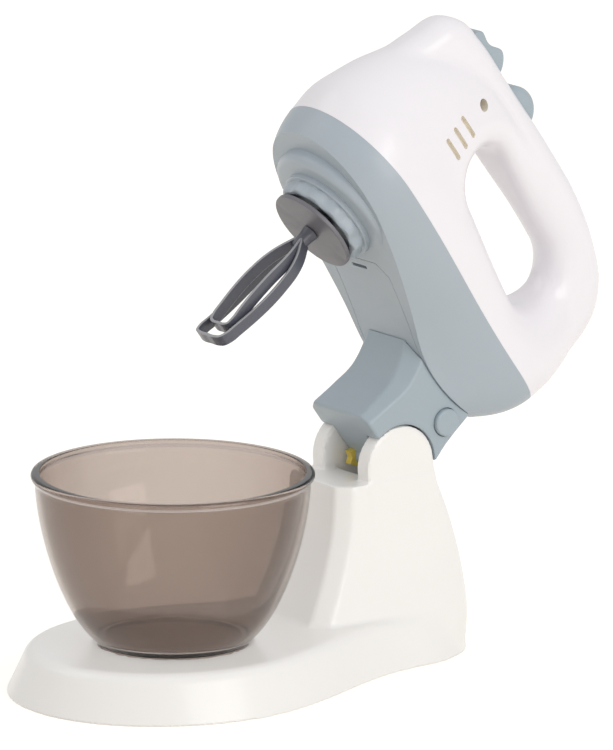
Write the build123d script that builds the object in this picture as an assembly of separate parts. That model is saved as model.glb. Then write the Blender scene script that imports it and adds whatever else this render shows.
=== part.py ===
"""Toy stand mixer: a hand mixer on a tilting cradle, over a bowl on a pear-shaped stand.

Millimetres, +Z up. The origin is on the floor, under the middle of the stand. The nose points to -Y.
The mixer and its cradle are drawn level, with the tilt pivot as their origin: p is the distance forward
of the pivot, q the height above it. They are then raised about the pivot to the tipped-back rest pose.
"""
from build123d import *
from math import acos, atan2, cos, hypot, pi, radians, sin, sqrt, tan
import os

os.makedirs("parts", exist_ok=True)

# Stand
BOWL_Y = -37.0  # bowl axis, from the origin
BASE_FRONT = 73.0  # front edge, forward of the bowl axis
BASE_REAR = 146.0  # rear edge, behind the bowl axis
BASE_LOBE = 66.0  # half width beside the bowl
BASE_TAIL = 38.0  # half width beside the column
BASE_WAIST_PULL = 38.0  # length of the flank's sweep at each end
BASE_HEIGHT = 20.0
SKIRT_DRAFT = 25.0  # degrees
SKIRT_EDGE_R = 2.0
STAND_WALL = 2.8
PLATE_THICK = 2.2
PLATE_CLEAR = 0.2
SEAT_DEPTH = 1.2
SEAT_CLEAR = 0.6

# Tilt pivot
PIVOT_BACK = 105.3  # behind the bowl axis
PIVOT_Z = 84.0
TILT = 54.0  # degrees, nose up at rest
EAR_R = 17.5
EAR_HALF = 20.3  # half width over the two ears
EAR_THICK = 8.3
NOTCH_DROP = 5.5  # floor between the ears, below the pivot
TROUGH_R = 11.0
PIN_D = 5.0
PIN_DEPTH = 5.6  # how far the pin enters each ear
RUN_CLEAR = 0.05  # radial, on pins and shafts

# Bowl
BOWL_RIM_R = 60.0
BOWL_FOOT_R = 32.3
BOWL_HEIGHT = 74.6
BOWL_WALL = 2.2
BOWL_LIP = 3.2
BOWL_FOOT = 2.0
BOWL_SWELL = 6.5  # how far the side bows out from a straight cone

HEAD_SINK = 1.4  # depth of the recess for a screw head
HEAD_THIN = 1.2
BASE_SCREW = 11.0
BOWL_SWELL_SHARE = 0.42  # height of the widest bow

# Cradle
ARM_HALF = 20.5
ARM_FLAT = 13.5  # half width of the front flat
ARM_CHAMFER = 12.0  # how far back the front corners are cut
ARM_FRONT = 31.0
ARM_BOTTOM = -2.0
ARM_REAR = -11.7
EAR_RELIEF = 0.6  # room round the ears
HUB_R = 7.0
HUB_CLEAR = 0.4  # room between the hub and each ear
SADDLE_R = 80.0
SADDLE_P = 20.0
SADDLE_Q = 35.0  # lowest point of the belly, in the cradle
SADDLE_GAP = 0.4
CAM_THICK = 3.6
CAM_X = -8.0
CAM_REACH = 9.8
RELEASE_P = -0.7
RELEASE_Q = 28.4
RELEASE_D = 12.0
RELEASE_PROUD = 2.0
RELEASE_LENGTH = 10.0
RELEASE_TRAVEL = 2.0
BUTTON_CLEAR = 0.35
TONGUE_P = 6.0  # length of the latch tongue along the mixer
TONGUE_X = 5.0
TONGUE_RISE = 5.0  # above the lowest point of the saddle
TONGUE_MID = 6.0
CAM_NOSE_P = 2.5
CAM_NOSE_REAR = (-4.9, -4.9)
CAM_NOSE_FRONT = (6.3, -2.8)
HEEL_Q = 13.75  # where the heel is cut away behind the ears
BUTTON_EDGE_R = 1.0

# Mixer housing
SEAM_Q = 66.0
HOUSING_WALL = 2.2
NOSE_P = 145.5
TAIL_P = -26.0
SHOULDER = 38.4  # half width at the seam over the beater
WAIST = 29.5  # half width at the seam under the handle
HANDLE_HALF = 13.0
HANDLE_RISE = 80.0  # crown of the handle above the seam
HANDLE_ROUND = 8.5
GRIP_R = 14.0  # half height of the grip opening
GRIP_FRONT = 70.0
GRIP_REAR = 15.0
GRIP_RISE = 39.0  # middle of the opening above the seam
GRIP_ROUND = 5.0
VENT_P = 98.6
VENT_RISE = 31.0
VENT_PITCH = 6.6
VENT_LENGTH = 12.0
VENT_WIDTH = 2.2
VENT_COUNT = 3
SCREW_P = 96.6
SCREW_RISE = 58.5
SCREW_D = 2.6
SCREW_HEAD_D = 5.0
BOSS_D = 7.0
BELLY_SCREW_P = -7.0
BELLY_SCREW_X = 12.0

SHOULDER_SHARE = 0.235  # place of the shoulder along the body
WAIST_SHARE = 0.86
FLANK_PULL = 0.26
TAIL_SQUARE = 0.84

SOLE_HEIGHT = 10.0
SLOPE_END_P = 40.0  # where the belly's slope leaves the round saddle
SLOPE = ((72.0, 44.0), (92.0, 47.0), (116.0, 50.0), (150.0, 54.5))
SLOPE_END_RISE = 0.12
LOWER_SCREW_GRIP = 4.0
# Side view of the handle: up the back, along the top, down the horn
# The handle's outer line, as forward place and height above the seam
HANDLE_BACK = ((-25.5, 6.0), (-30.0, 20.0), (-31.0, 38.0), (-27.5, 54.0), (-17.5, 65.5))
HANDLE_CROWN = ((0.0, 73.5), (22.0, 78.5), (48.0, 80.0), (90.0, 80.0), (112.0, 79.2))
HANDLE_HORN = ((124.0, 76.2), (130.8, 69.5), (134.5, 56.0), (138.2, 40.0), (140.5, 26.0))
HANDLE_ROOT = 12.0

HANDLE_WALL = 3.0
HANDLE_CORNER = 1.5
HEAD_SEAT_X = 6.0  # seat of the cross screw's head
SCREW_LENGTH = 14.0
LOWER_SCREW_DEPTH = 9.0
SEAM_TINY = 0.02

# Controls on the handle
SLIDER_P = 104.5  # middle of the slider
SLIDER_LENGTH = 23.0
SLIDER_HALF = 6.5
SLIDER_SLOT_DROP = 1.4  # depth of its flat recess
SLIDER_TRAVEL = 5.0
STEM_LENGTH = 7.0
STEM_HALF = 3.0
BUTTON_P = 73.5
BUTTON_LENGTH = 20.0
BUTTON_HALF = 7.0
BUTTON_RISE = 6.4
BUTTON_SKIRT = 3.0
BUTTON_TRAVEL = 2.5
SLIDER_EDGE = 1.6
# The slider's humps, from its middle and above the handle's crown
SLIDER_HUMPS = ((-8.5, 4.2), (-4.5, 6.0), (0.5, 3.4), (4.5, 2.6), (8.5, 3.2))
SLIDE_CLEAR = 0.2
BUTTON_ROUND = 3.0
PLUNGER_D = 4.0
PLUNGER_DROP = 3.0
POWER_SWITCH_LENGTH = 8.0
SWITCH_DROP = 6.4  # top of the slide switch below the crown
SWITCH_RIM = 1.5
SWITCH_GROOVE = 1.6
SWITCH_H = 5.6
SWITCH_HALF = 4.0

# Battery bay
DOOR_FRONT = 76.7
DOOR_REAR = 4.5
DOOR_HALF = 19.5
DOOR_CORNER = 6.0
DOOR_GAP = 0.25
DOOR_SLOT = 1.6
DOOR_SLOT_HALF = 5.0
DOOR_SLOT_BACK = 3.9
DOOR_SCREW_P = 10.0
DOOR_SCREW_SINK = 2.1
CELL_D = 14.2
CELL_LENGTH = 49.0
CELL_PITCH = 15.4
CELL_REAR = 19.0
CELL_Q = 53.2
CELL_NUB_D = 5.3
CELL_NUB = 1.2
CONTACT_THICK = 0.5
CONTACT_HALF = 5.0
DOOR_SCREW_LENGTH = 10.0
BAY_WALL = 2.0
BAY_ROOM = 0.6

# Drive
SPINDLE_P = 102.5
SPINDLE_D = 6.0
SOLE_R = 31.0
SOLE_TAIL_R = 17.0
SOLE_TAIL_P = 64.0
SOLE_Q = 46.0  # flat face under the nose
SOLE_ROUND = 3.5
FLOOR_THICK = 3.0
MODULE = 0.8
PRESSURE = 25.0  # degrees
BACKLASH = 0.16
ADDENDUM = 0.9  # shares of the module
DEDENDUM = 1.2
FLANK_STEPS = 4
IDLER_HUB_D = 7.0
SHAFT_IN = 8.0
PLATE_RIM = 1.0
PINION_TEETH = 12
IDLER_TEETH = 28
IDLER_PINION_TEETH = 12
OUTPUT_TEETH = 36
IDLER_X = 14.0
GEAR_LIFT = 4.0  # gears above the floor
DRIVE_GEAR_H = 4.5
IDLER_GEAR_H = 3.0
GEAR_GAP = 0.6
AXLE_D = 2.0
PLATE_H = 2.0
POST_D = 6.0
MOTOR_D = 20.0
MOTOR_FLAT = 15.2
MOTOR_H = 25.0
MOTOR_BOSS_D = 6.0
MOTOR_BOSS = 1.5
BUSH_D = 10.0
BUSH_FLANGE_D = 13.0
BUSH_FLANGE = 1.2

# Under the nose
COLLAR_D = 45.0
COLLAR_FLANGE = 2.4
COLLAR_RING_D = 40.6
COLLAR_LOBES = 12
COLLAR_LOBE_R = 4.2
COLLAR_LOBE_PCR = 17.5
COLLAR_CHAMFER = 0.8
COLLAR_H = 8.0
COLLAR_RECESS_D = 35.0
COLLAR_RECESS = 5.0
DISC_D = 40.0
DISC_THICK = 1.8
DISC_Q = 34.0  # lower face of the disc
DISC_HUB_D = 9.0
DISC_HUB_ROOM = 0.6
BEATER_STEM_D = 3.2
BEATER_STEM = 10.0
BEATER_HUB_D = 7.0
BEATER_HUB = 9.0
BEATER_LONG_Q = -31.8
BEATER_SHORT_Q = -25.0
BEATER_LONG_HALF = 9.5
BEATER_SHORT_HALF = 7.0
BEATER_RIBBON = 2.0
BEATER_DEPTH = 4.0
BEATER_NECK = 3.4
BEATER_SWELL = 14.0
BEATER_CORNER = 5.0
BEATER_BOW = 0.8  # how far the tip's corners stay back
BEATER_TIP_SHARE = 0.75
BEATER_GAP = 0.3
BEATER_TURN = -10.0  # degrees about the spindle

PIVOT_Y = BOWL_Y + PIVOT_BACK
RAISED = Pos(0, PIVOT_Y, PIVOT_Z) * Rot(-TILT, 0, 0)
SEAT_Z = BASE_HEIGHT - SEAT_DEPTH
EAR_GAP_HALF = EAR_HALF - EAR_THICK
HUB_HALF = EAR_GAP_HALF - HUB_CLEAR
FLOOR_Q = SOLE_Q + FLOOR_THICK
HANDLE_TOP = SEAM_Q + HANDLE_RISE
GRIP_Q = SEAM_Q + GRIP_RISE
SCREW_Q = SEAM_Q + SCREW_RISE
SWITCH_TOP_Q = HANDLE_TOP - SWITCH_DROP
PITCH_1 = MODULE * (PINION_TEETH + IDLER_TEETH) / 2
PITCH_2 = MODULE * (IDLER_PINION_TEETH + OUTPUT_TEETH) / 2
IDLER_P = SPINDLE_P + sqrt(PITCH_2**2 - IDLER_X**2)
MOTOR_P = IDLER_P + sqrt(PITCH_1**2 - IDLER_X**2)
DRIVE_Q = FLOOR_Q + GEAR_LIFT
IDLER_Q = DRIVE_Q + DRIVE_GEAR_H + GEAR_GAP
PLATE_Q = IDLER_Q + IDLER_GEAR_H + 2 * GEAR_GAP


def side_plane():
    """The mixer's middle plane, drawn as p forward and q up."""
    return Plane(origin=(0, 0, 0), x_dir=(0, -1, 0), z_dir=(-1, 0, 0))


def level_plane(q):
    """A plan of the mixer at height q, drawn as p forward and x across."""
    return Plane(origin=(0, 0, q), x_dir=(0, -1, 0), z_dir=(0, 0, 1))


def slab(sketch, half):
    """A side view, drawn as p and q, thickened to half each way across."""
    return extrude(side_plane() * sketch, amount=half, both=True)


def across(p, q, radius, x0, x1):
    """A round bar across the mixer between two sideways places."""
    return Pos((x0 + x1) / 2, 0, 0) * slab(Pos(p, q) * Circle(radius), (x1 - x0) / 2)


def upright(p, x, radius, bottom, top):
    """A round bar along the mixer's height."""
    return extrude(level_plane(bottom) * Pos(p, x) * Circle(radius), amount=top - bottom)


def block(p0, p1, x0, x1, q0, q1):
    """A box between two forward, two sideways and two height limits."""
    return Pos((x0 + x1) / 2, -(p0 + p1) / 2, (q0 + q1) / 2) * Box(x1 - x0, p1 - p0, q1 - q0)


def save(solid, name):
    """Write one piece to its own file."""
    export_step(solid, f"parts/{name}.step")


ROUND = 0.5523  # handle length of a cubic curve that follows a quarter circle


def base_plan(z, inset):
    """Pear-shaped plan of the stand at height z: round by the bowl, drawn in to a round tail."""
    lobe = BASE_LOBE - inset
    tail = BASE_TAIL - inset
    front = -(BASE_FRONT - inset)
    rear = BASE_REAR - inset
    bend = ROUND * (rear - PIVOT_BACK)
    half = Bezier((0, front), (ROUND * lobe, front), (lobe, ROUND * front), (lobe, 0))
    sweep = PIVOT_BACK - BASE_WAIST_PULL
    half += Bezier((lobe, 0), (lobe, BASE_WAIST_PULL), (tail, sweep), (tail, PIVOT_BACK))
    half += Bezier((tail, PIVOT_BACK), (tail, PIVOT_BACK + bend), (ROUND * tail, rear), (0, rear))
    return make_face(Pos(0, BOWL_Y, z) * (half + mirror(half, Plane.YZ)))


def skirt_inset(z):
    """How far the sloping skirt has drawn in at height z."""
    return z * tan(radians(SKIRT_DRAFT))


# The column's flare below its top: height share, then growth of front, rear, half width and front flat,
# and how far the back bows out
COLUMN = (
    (0.00, 17.5, 17.6, 11.7, 7.5, 18.0),
    (0.23, 12.0, 18.8, 9.7, 4.5, 15.0),
    (0.47, 5.5, 16.0, 5.7, 2.0, 11.0),
    (0.74, 1.0, 8.7, 2.2, 0.5, 6.0),
    (1.00, 0.0, 0.0, 0.0, 0.0, 4.0),
)
COLUMN_TOP_REAR = 22.4


def column_body(inset, top):
    """Loft of the column up to a height: a front flat, cut corners, straight sides and a bowed back."""
    plans = []
    for share, front, rear, half, flat, bow in COLUMN:
        f = -(ARM_FRONT + front - inset)
        r = COLUMN_TOP_REAR + rear - inset
        w = EAR_HALF + half - inset
        n = ARM_FLAT + flat - inset / 2
        side = f + ARM_CHAMFER
        outline = Polyline((-w, r - bow), (-w, side), (-n, f), (n, f), (w, side), (w, r - bow))
        outline += ThreePointArc((w, r - bow), (0, r), (-w, r - bow))
        plans.append(make_face(Pos(0, PIVOT_Y, share * top) * outline))
    return loft(plans)


SCREW_SPOTS = (
    (0.0, BOWL_Y - 50.0),
    (46.0, BOWL_Y),
    (-46.0, BOWL_Y),
    (26.3, PIVOT_Y - 8.0),
    (-26.3, PIVOT_Y - 8.0),
)


def make_stand():
    """Hollow stand: sloping skirt, platform with the bowl's seat, column and two pivot ears."""
    foot = loft([base_plan(0, 0), base_plan(BASE_HEIGHT, skirt_inset(BASE_HEIGHT))], ruled=True)
    foot = fillet(foot.edges().group_by(Axis.Z)[-1], SKIRT_EDGE_R)
    pivot = Pos(0, PIVOT_Y, PIVOT_Z)
    ear = slab(Circle(EAR_R) + Pos(0, -NOTCH_DROP) * Rectangle(2 * EAR_R, 2 * NOTCH_DROP), EAR_THICK / 2)
    ear_x = EAR_GAP_HALF + EAR_THICK / 2
    ears = [pivot * Pos(ear_x) * ear, pivot * Pos(-ear_x) * ear]
    outer = foot + [column_body(0, PIVOT_Z - NOTCH_DROP), *ears]
    hollow_top = BASE_HEIGHT - STAND_WALL
    hollow_plans = [base_plan(0, STAND_WALL), base_plan(hollow_top, STAND_WALL + skirt_inset(hollow_top))]
    pin_reach = EAR_GAP_HALF + PIN_DEPTH
    stand = outer - [
        loft(hollow_plans, ruled=True),
        column_body(STAND_WALL, PIVOT_Z - TROUGH_R - STAND_WALL),
        Pos(0, BOWL_Y, SEAT_Z + SEAT_DEPTH) * Cylinder(BOWL_FOOT_R + SEAT_CLEAR, 2 * SEAT_DEPTH),
        pivot * across(0, 0, TROUGH_R, -EAR_GAP_HALF, EAR_GAP_HALF),
        pivot * across(0, 0, PIN_D / 2, -pin_reach, pin_reach),
    ]
    boss_mid = (PLATE_THICK + hollow_top) / 2
    boss_h = hollow_top - PLATE_THICK
    stand += [Pos(x, y, boss_mid) * Cylinder(BOSS_D / 2, boss_h) for x, y in SCREW_SPOTS]
    return stand - [Pos(x, y, boss_mid) * Cylinder(SCREW_D / 2, boss_h) for x, y in SCREW_SPOTS]


def make_base_plate():
    """Flat closing plate, let into the foot, with a countersunk hole for each screw."""
    edge = STAND_WALL + PLATE_CLEAR
    plate = loft([base_plan(0, edge), base_plan(PLATE_THICK, edge + skirt_inset(PLATE_THICK))], ruled=True)
    holes = []
    for x, y in SCREW_SPOTS:
        holes.append(Pos(x, y, PLATE_THICK / 2) * Cylinder(SCREW_D / 2 + PLATE_CLEAR, PLATE_THICK))
        holes.append(Pos(x, y, 0) * Cylinder(SCREW_HEAD_D / 2 + PLATE_CLEAR, 2 * HEAD_SINK))
    return plate - holes


def make_base_screws():
    """Pan-head screws from the plate up into the bosses."""
    screws = []
    for x, y in SCREW_SPOTS:
        head = Pos(x, y, HEAD_SINK - HEAD_THIN / 2) * Cylinder(SCREW_HEAD_D / 2, HEAD_THIN)
        shank = Pos(x, y, HEAD_SINK + BASE_SCREW / 2) * Cylinder(SCREW_D / 2, BASE_SCREW)
        screws.append(head + shank)
    return Compound(screws)


def make_hinge_pin():
    """Steel pin held in both ears."""
    reach = EAR_GAP_HALF + PIN_DEPTH - PLATE_CLEAR
    return Pos(0, PIVOT_Y, PIVOT_Z) * across(0, 0, PIN_D / 2, -reach, reach)


def make_bowl():
    """Smoky bowl: a low foot, sides that bow out, and a rolled lip."""
    top = BOWL_HEIGHT
    neck = BOWL_RIM_R - BOWL_LIP
    swell = ((BOWL_FOOT_R + neck) / 2 + BOWL_SWELL, top * BOWL_SWELL_SHARE)
    outside = ThreePointArc((BOWL_FOOT_R, BOWL_FOOT), swell, (neck, top - BOWL_LIP))
    inner_swell = (swell[0] - BOWL_WALL, swell[1])
    floor_edge = (BOWL_FOOT_R - BOWL_WALL, BOWL_FOOT + BOWL_WALL)
    inside = ThreePointArc((neck - BOWL_WALL, top), inner_swell, floor_edge)
    lip_mid = top - BOWL_LIP / 2
    profile = Polyline((0, BOWL_FOOT + BOWL_WALL), (0, BOWL_FOOT), (BOWL_FOOT_R - BOWL_LIP, BOWL_FOOT))
    profile += Polyline((BOWL_FOOT_R - BOWL_LIP, BOWL_FOOT), (BOWL_FOOT_R - BOWL_LIP, 0), (BOWL_FOOT_R, 0))
    profile += Line((BOWL_FOOT_R, 0), (BOWL_FOOT_R, BOWL_FOOT))
    profile += outside
    profile += ThreePointArc((neck, top - BOWL_LIP), (BOWL_RIM_R, lip_mid), (neck, top))
    profile += Line((neck, top), (neck - BOWL_WALL, top))
    profile += inside
    profile += Line(floor_edge, (0, BOWL_FOOT + BOWL_WALL))
    return Pos(0, BOWL_Y, SEAT_Z) * revolve(Plane.XZ * make_face(profile), Axis.Z)


# The cradle's front and rear lines: height, growth of the front, growth of the rear
CRADLE = (
    (0.0, 0.0, 0.0),
    (13.0, -0.5, 0.0),
    (25.0, 0.2, 2.6),
    (38.0, 7.0, 4.0),
    (46.0, 13.0, 4.6),
)
RELEASE_POCKET = 17.0


def make_tilt_arm():
    """Cradle: cut front corners like the column's, a curved saddle on top, a hub between the ears."""
    plans = []
    for rise, front, rear in CRADLE:
        f = ARM_FRONT + front
        r = ARM_REAR + rear
        outline = Polyline(
            (r, -ARM_HALF), (f - ARM_CHAMFER, -ARM_HALF), (f, -ARM_FLAT), (f, ARM_FLAT),
            (f - ARM_CHAMFER, ARM_HALF), (r, ARM_HALF), close=True,
        )
        plans.append(make_face(level_plane(ARM_BOTTOM + rise) * outline))
    arm = loft(plans)
    relief = EAR_R + EAR_RELIEF
    heel = Polyline(
        (ARM_REAR, HEEL_Q), (-HUB_R, 0), (0, -2 * HUB_R), (-relief, -2 * HUB_R), (-relief, HEEL_Q),
        close=True,
    )
    cam_x0 = CAM_X - CAM_THICK / 2
    cam_x1 = CAM_X + CAM_THICK / 2
    arm -= [
        across(SADDLE_P, SADDLE_Q + SADDLE_R, SADDLE_R + SADDLE_GAP, -2 * ARM_HALF, 2 * ARM_HALF),
        across(0, 0, relief, HUB_HALF, 2 * ARM_HALF),
        across(0, 0, relief, -2 * ARM_HALF, -HUB_HALF),
        slab(make_face(heel), 2 * ARM_HALF),
    ]
    arm += across(0, 0, HUB_R, -HUB_HALF, HUB_HALF)
    bore = PIN_D / 2 + RUN_CLEAR
    tongue_room = TONGUE_X / 2 + RELEASE_TRAVEL + BUTTON_CLEAR
    arm -= [
        across(0, 0, bore, -2 * ARM_HALF, 2 * ARM_HALF),
        across(0, 0, HUB_R + RUN_CLEAR, cam_x0, cam_x1),
        across(RELEASE_P, RELEASE_Q, RELEASE_D / 2 + BUTTON_CLEAR, ARM_HALF - RELEASE_POCKET, 2 * ARM_HALF),
        block(RELEASE_P - TONGUE_P / 2 - BUTTON_CLEAR, RELEASE_P + TONGUE_P / 2 + BUTTON_CLEAR,
              TONGUE_MID - tongue_room, TONGUE_MID + tongue_room,
              RELEASE_Q - RELEASE_D / 4 - BUTTON_CLEAR, SADDLE_Q + SADDLE_R),
    ]
    return arm


def make_detent_cam():
    """Yellow stop on the hinge: a ring with a pointed nose that hangs below the hub."""
    nose = Polyline(CAM_NOSE_REAR, (CAM_NOSE_P, -CAM_REACH), CAM_NOSE_FRONT, (0, 0), close=True)
    cam = slab(Circle(HUB_R) + make_face(nose) - Circle(PIN_D / 2 + RUN_CLEAR), CAM_THICK / 2)
    return Pos(CAM_X, 0, 0) * cam


def make_release_button():
    """Round push button on the cradle's side, slightly crowned."""
    x1 = ARM_HALF + RELEASE_PROUD
    button = across(RELEASE_P, RELEASE_Q, RELEASE_D / 2, x1 - RELEASE_LENGTH, x1)
    return fillet(button.edges().group_by(Axis.X)[-1], BUTTON_EDGE_R)


def make_latch_tongue():
    """Tongue on the button's back that stands through the saddle into the belly."""
    x1 = ARM_HALF + RELEASE_PROUD - RELEASE_LENGTH
    stem = across(RELEASE_P, RELEASE_Q, RELEASE_D / 4, TONGUE_MID - TONGUE_X / 2, x1)
    top = SADDLE_Q + TONGUE_RISE
    tongue = block(RELEASE_P - TONGUE_P / 2, RELEASE_P + TONGUE_P / 2,
                   TONGUE_MID - TONGUE_X / 2, TONGUE_MID + TONGUE_X / 2, RELEASE_Q - RELEASE_D / 4, top)
    return stem + tongue


def pear(q, front, rear, shoulder, waist):
    """Closed plan of the mixer at height q: round nose, broad shoulder, narrow waist and a squarer tail."""
    length = front - rear
    broad = front - SHOULDER_SHARE * length
    slim = front - WAIST_SHARE * length
    pull = FLANK_PULL * length
    nose = ROUND * (front - broad)
    tail = TAIL_SQUARE * (slim - rear)
    half = Bezier((front, 0), (front, ROUND * shoulder), (broad + nose, shoulder), (broad, shoulder))
    half += Bezier((broad, shoulder), (broad - pull, shoulder), (slim + pull, waist), (slim, waist))
    half += Bezier((slim, waist), (slim - tail, waist), (rear, TAIL_SQUARE * waist), (rear, 0))
    return make_face(level_plane(q) * (half + mirror(half, Plane.XZ)))


# Plans of the white dome above the seam: rise, then growth of front, tail, shoulder and waist
DOME = (
    (0.0, 0.0, 0.0, 0.0, 0.0),
    (12.0, 2.0, -2.5, -2.9, -2.5),
    (24.0, 0.0, -4.0, -7.4, -7.5),
    (36.0, -4.0, -4.5, -11.4, -13.5),
    (48.0, -11.5, -4.5, -15.4, -19.5),
    (58.0, -22.0, 0.0, -19.9, -21.5),
    (66.0, -31.5, 9.0, -23.4, -22.5),
    (72.0, -44.5, 20.0, -27.4, -23.5),
)
# Plans of the grey belly below the seam
BELLY = (
    (0.0, 0.0, 0.0, 0.0, 0.0),
    (-8.0, -1.6, 2.0, -1.4, -1.2),
    (-16.0, -5.0, 6.0, -4.6, -3.4),
    (-24.0, -11.0, 12.0, -9.4, -6.0),
    (-33.0, -19.0, 18.0, -14.9, -8.5),
)


def stacked(levels, inset):
    """Loft through the plans of a level table, drawn in by the wall inset."""
    plans = []
    for rise, front, rear, shoulder, waist in levels:
        front_p = NOSE_P + front - inset
        rear_p = TAIL_P + rear + inset
        half = SHOULDER + shoulder - inset
        plans.append(pear(SEAM_Q + rise, front_p, rear_p, half, WAIST + waist - inset))
    return loft(plans)


def belly_region(lift):
    """Everything below the belly's underside line, raised by lift: flat nose, slope, round saddle."""
    saddle_mid = SADDLE_Q + SADDLE_R

    def on_saddle(p):
        return (p, saddle_mid - sqrt(SADDLE_R**2 - (p - SADDLE_P) ** 2))

    start = on_saddle(SLOPE_END_P)
    slope = (start[0] - SADDLE_P) / (saddle_mid - start[1])
    outline = ThreePointArc(on_saddle(2 * TAIL_P), on_saddle(SADDLE_P), start)
    outline += Spline(start, *SLOPE, tangents=[(1, slope), (1, SLOPE_END_RISE)])
    last = SLOPE[-1]
    outline += Polyline(last, (last[0], 0), (2 * TAIL_P, 0), on_saddle(2 * TAIL_P))
    return slab(Pos(0, lift) * make_face(outline), 2 * SHOULDER)


def door_prism(grow):
    """Upright prism of the battery door's plan, with cut front corners."""
    w = DOOR_HALF + grow
    f = DOOR_FRONT + grow
    r = DOOR_REAR - grow
    side = f - DOOR_CORNER
    nose = w - DOOR_CORNER
    plan = Polyline((r, -w), (side, -w), (f, -nose), (f, nose), (side, w), (r, w), close=True)
    return extrude(level_plane(0) * make_face(plan), amount=SEAM_Q)


def sole_prism(inset, bottom, top):
    """Teardrop tier under the nose: round over the beater, drawn back to a narrow tail."""
    plan = make_hull(
        (Pos(SPINDLE_P, 0) * CenterArc((0, 0), SOLE_R - inset, 0, 360)
         + Pos(SOLE_TAIL_P, 0) * CenterArc((0, 0), SOLE_TAIL_R - inset, 0, 360)).edges()
    )
    return extrude(level_plane(bottom) * plan, amount=top - bottom)


BAY_X = CELL_PITCH / 2 + CELL_D / 2 + BAY_ROOM
BAY_TOP = CELL_Q + CELL_D / 2 + BAY_ROOM
BAY_FRONT = CELL_REAR + CELL_LENGTH + 2 * CONTACT_THICK + CELL_NUB
BAY_REAR = CELL_REAR - 2 * CONTACT_THICK - CELL_NUB
POSTS = ((SPINDLE_P - 15.0, 14.0), (SPINDLE_P - 15.0, -14.0), (MOTOR_P - 3.0, -17.0))
LOWER_SCREWS = ((BELLY_SCREW_P, BELLY_SCREW_X), (BELLY_SCREW_P, -BELLY_SCREW_X))


def make_lower_housing():
    """Grey belly: a tapering shell trimmed to its underside line, the nose tier, battery bay and posts."""
    outer = stacked(BELLY, 0) - belly_region(0)
    sole = sole_prism(0, SOLE_Q, SOLE_Q + SOLE_HEIGHT)
    outer += fillet(sole.edges().group_by(Axis.Z)[0], SOLE_ROUND)
    hollow = stacked(BELLY, HOUSING_WALL) - belly_region(HOUSING_WALL)
    shell = outer - [hollow, sole_prism(HOUSING_WALL, FLOOR_Q, SOLE_Q + SOLE_HEIGHT)]
    bay = block(DOOR_REAR - BAY_WALL, BAY_FRONT + BAY_WALL, -DOOR_HALF - BAY_WALL, DOOR_HALF + BAY_WALL,
                SADDLE_Q, BAY_TOP + BAY_WALL)
    bay -= [
        block(BAY_REAR, BAY_FRONT, -BAY_X, BAY_X, 0, BAY_TOP),
        belly_region(HOUSING_WALL / 2),
    ]
    posts = [upright(p, x, POST_D / 2, FLOOR_Q - FLOOR_THICK / 2, PLATE_Q) for p, x in POSTS]
    axle_boss = upright(IDLER_P, IDLER_X, POST_D / 2, FLOOR_Q - FLOOR_THICK / 2, DRIVE_Q - GEAR_GAP)
    screw_posts = [upright(p, x, BOSS_D / 2, SADDLE_Q, SEAM_Q) - belly_region(0) for p, x in LOWER_SCREWS]
    shell += [bay & outer, axle_boss, *posts, *screw_posts]
    door_pocket = door_prism(DOOR_GAP) & belly_region(HOUSING_WALL)
    head_r = SCREW_HEAD_D / 2 + PLATE_CLEAR
    cuts = [
        door_pocket,
        block(BAY_REAR, BAY_FRONT, -BAY_X, BAY_X, 0, BAY_TOP),
        upright(SPINDLE_P, 0, BUSH_D / 2, 0, SEAM_Q),
        upright(SPINDLE_P, 0, COLLAR_D / 2 + PLATE_CLEAR, 0, SOLE_Q),
        upright(IDLER_P, IDLER_X, AXLE_D / 2, FLOOR_Q, SEAM_Q),
        upright(DOOR_SCREW_P, 0, SCREW_D / 2, 0, BAY_TOP),
        block(RELEASE_P - TONGUE_P, RELEASE_P + TONGUE_P, TONGUE_MID - TONGUE_X - RELEASE_TRAVEL,
              TONGUE_MID + TONGUE_X, 0, SADDLE_Q + TONGUE_RISE + BAY_ROOM),
    ]
    cuts += [upright(p, x, SCREW_D / 2, FLOOR_Q + FLOOR_THICK, PLATE_Q) for p, x in POSTS]
    for p, x in LOWER_SCREWS:
        cuts.append(upright(p, x, SCREW_D / 2 + PLATE_CLEAR, 0, SEAM_Q))
        cuts.append(upright(p, x, head_r, 0, SEAM_Q - LOWER_SCREW_GRIP))
    return shell - cuts


def make_battery_door():
    """Door flush with the belly: it follows the same underside line, with a thumb slot and a screw hole."""
    door = (door_prism(0) & belly_region(HOUSING_WALL - PLATE_CLEAR)) - belly_region(0)
    head_r = SCREW_HEAD_D / 2 + PLATE_CLEAR
    slot_p = DOOR_FRONT - DOOR_SLOT_BACK
    return door - [
        upright(DOOR_SCREW_P, 0, SCREW_D / 2 + PLATE_CLEAR, 0, SEAM_Q),
        upright(DOOR_SCREW_P, 0, head_r, 0, SADDLE_Q + DOOR_SCREW_SINK),
        block(slot_p - DOOR_SLOT / 2, slot_p + DOOR_SLOT / 2, -DOOR_SLOT_HALF, DOOR_SLOT_HALF, 0, SEAM_Q),
    ]


def grip_prism(grow):
    """The hand opening, a long round-ended slot through the handle."""
    slot = SlotCenterToCenter(GRIP_FRONT - GRIP_REAR, 2 * (GRIP_R + grow))
    return slab(Pos((GRIP_FRONT + GRIP_REAR) / 2, GRIP_Q) * slot, 2 * SHOULDER)


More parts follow.
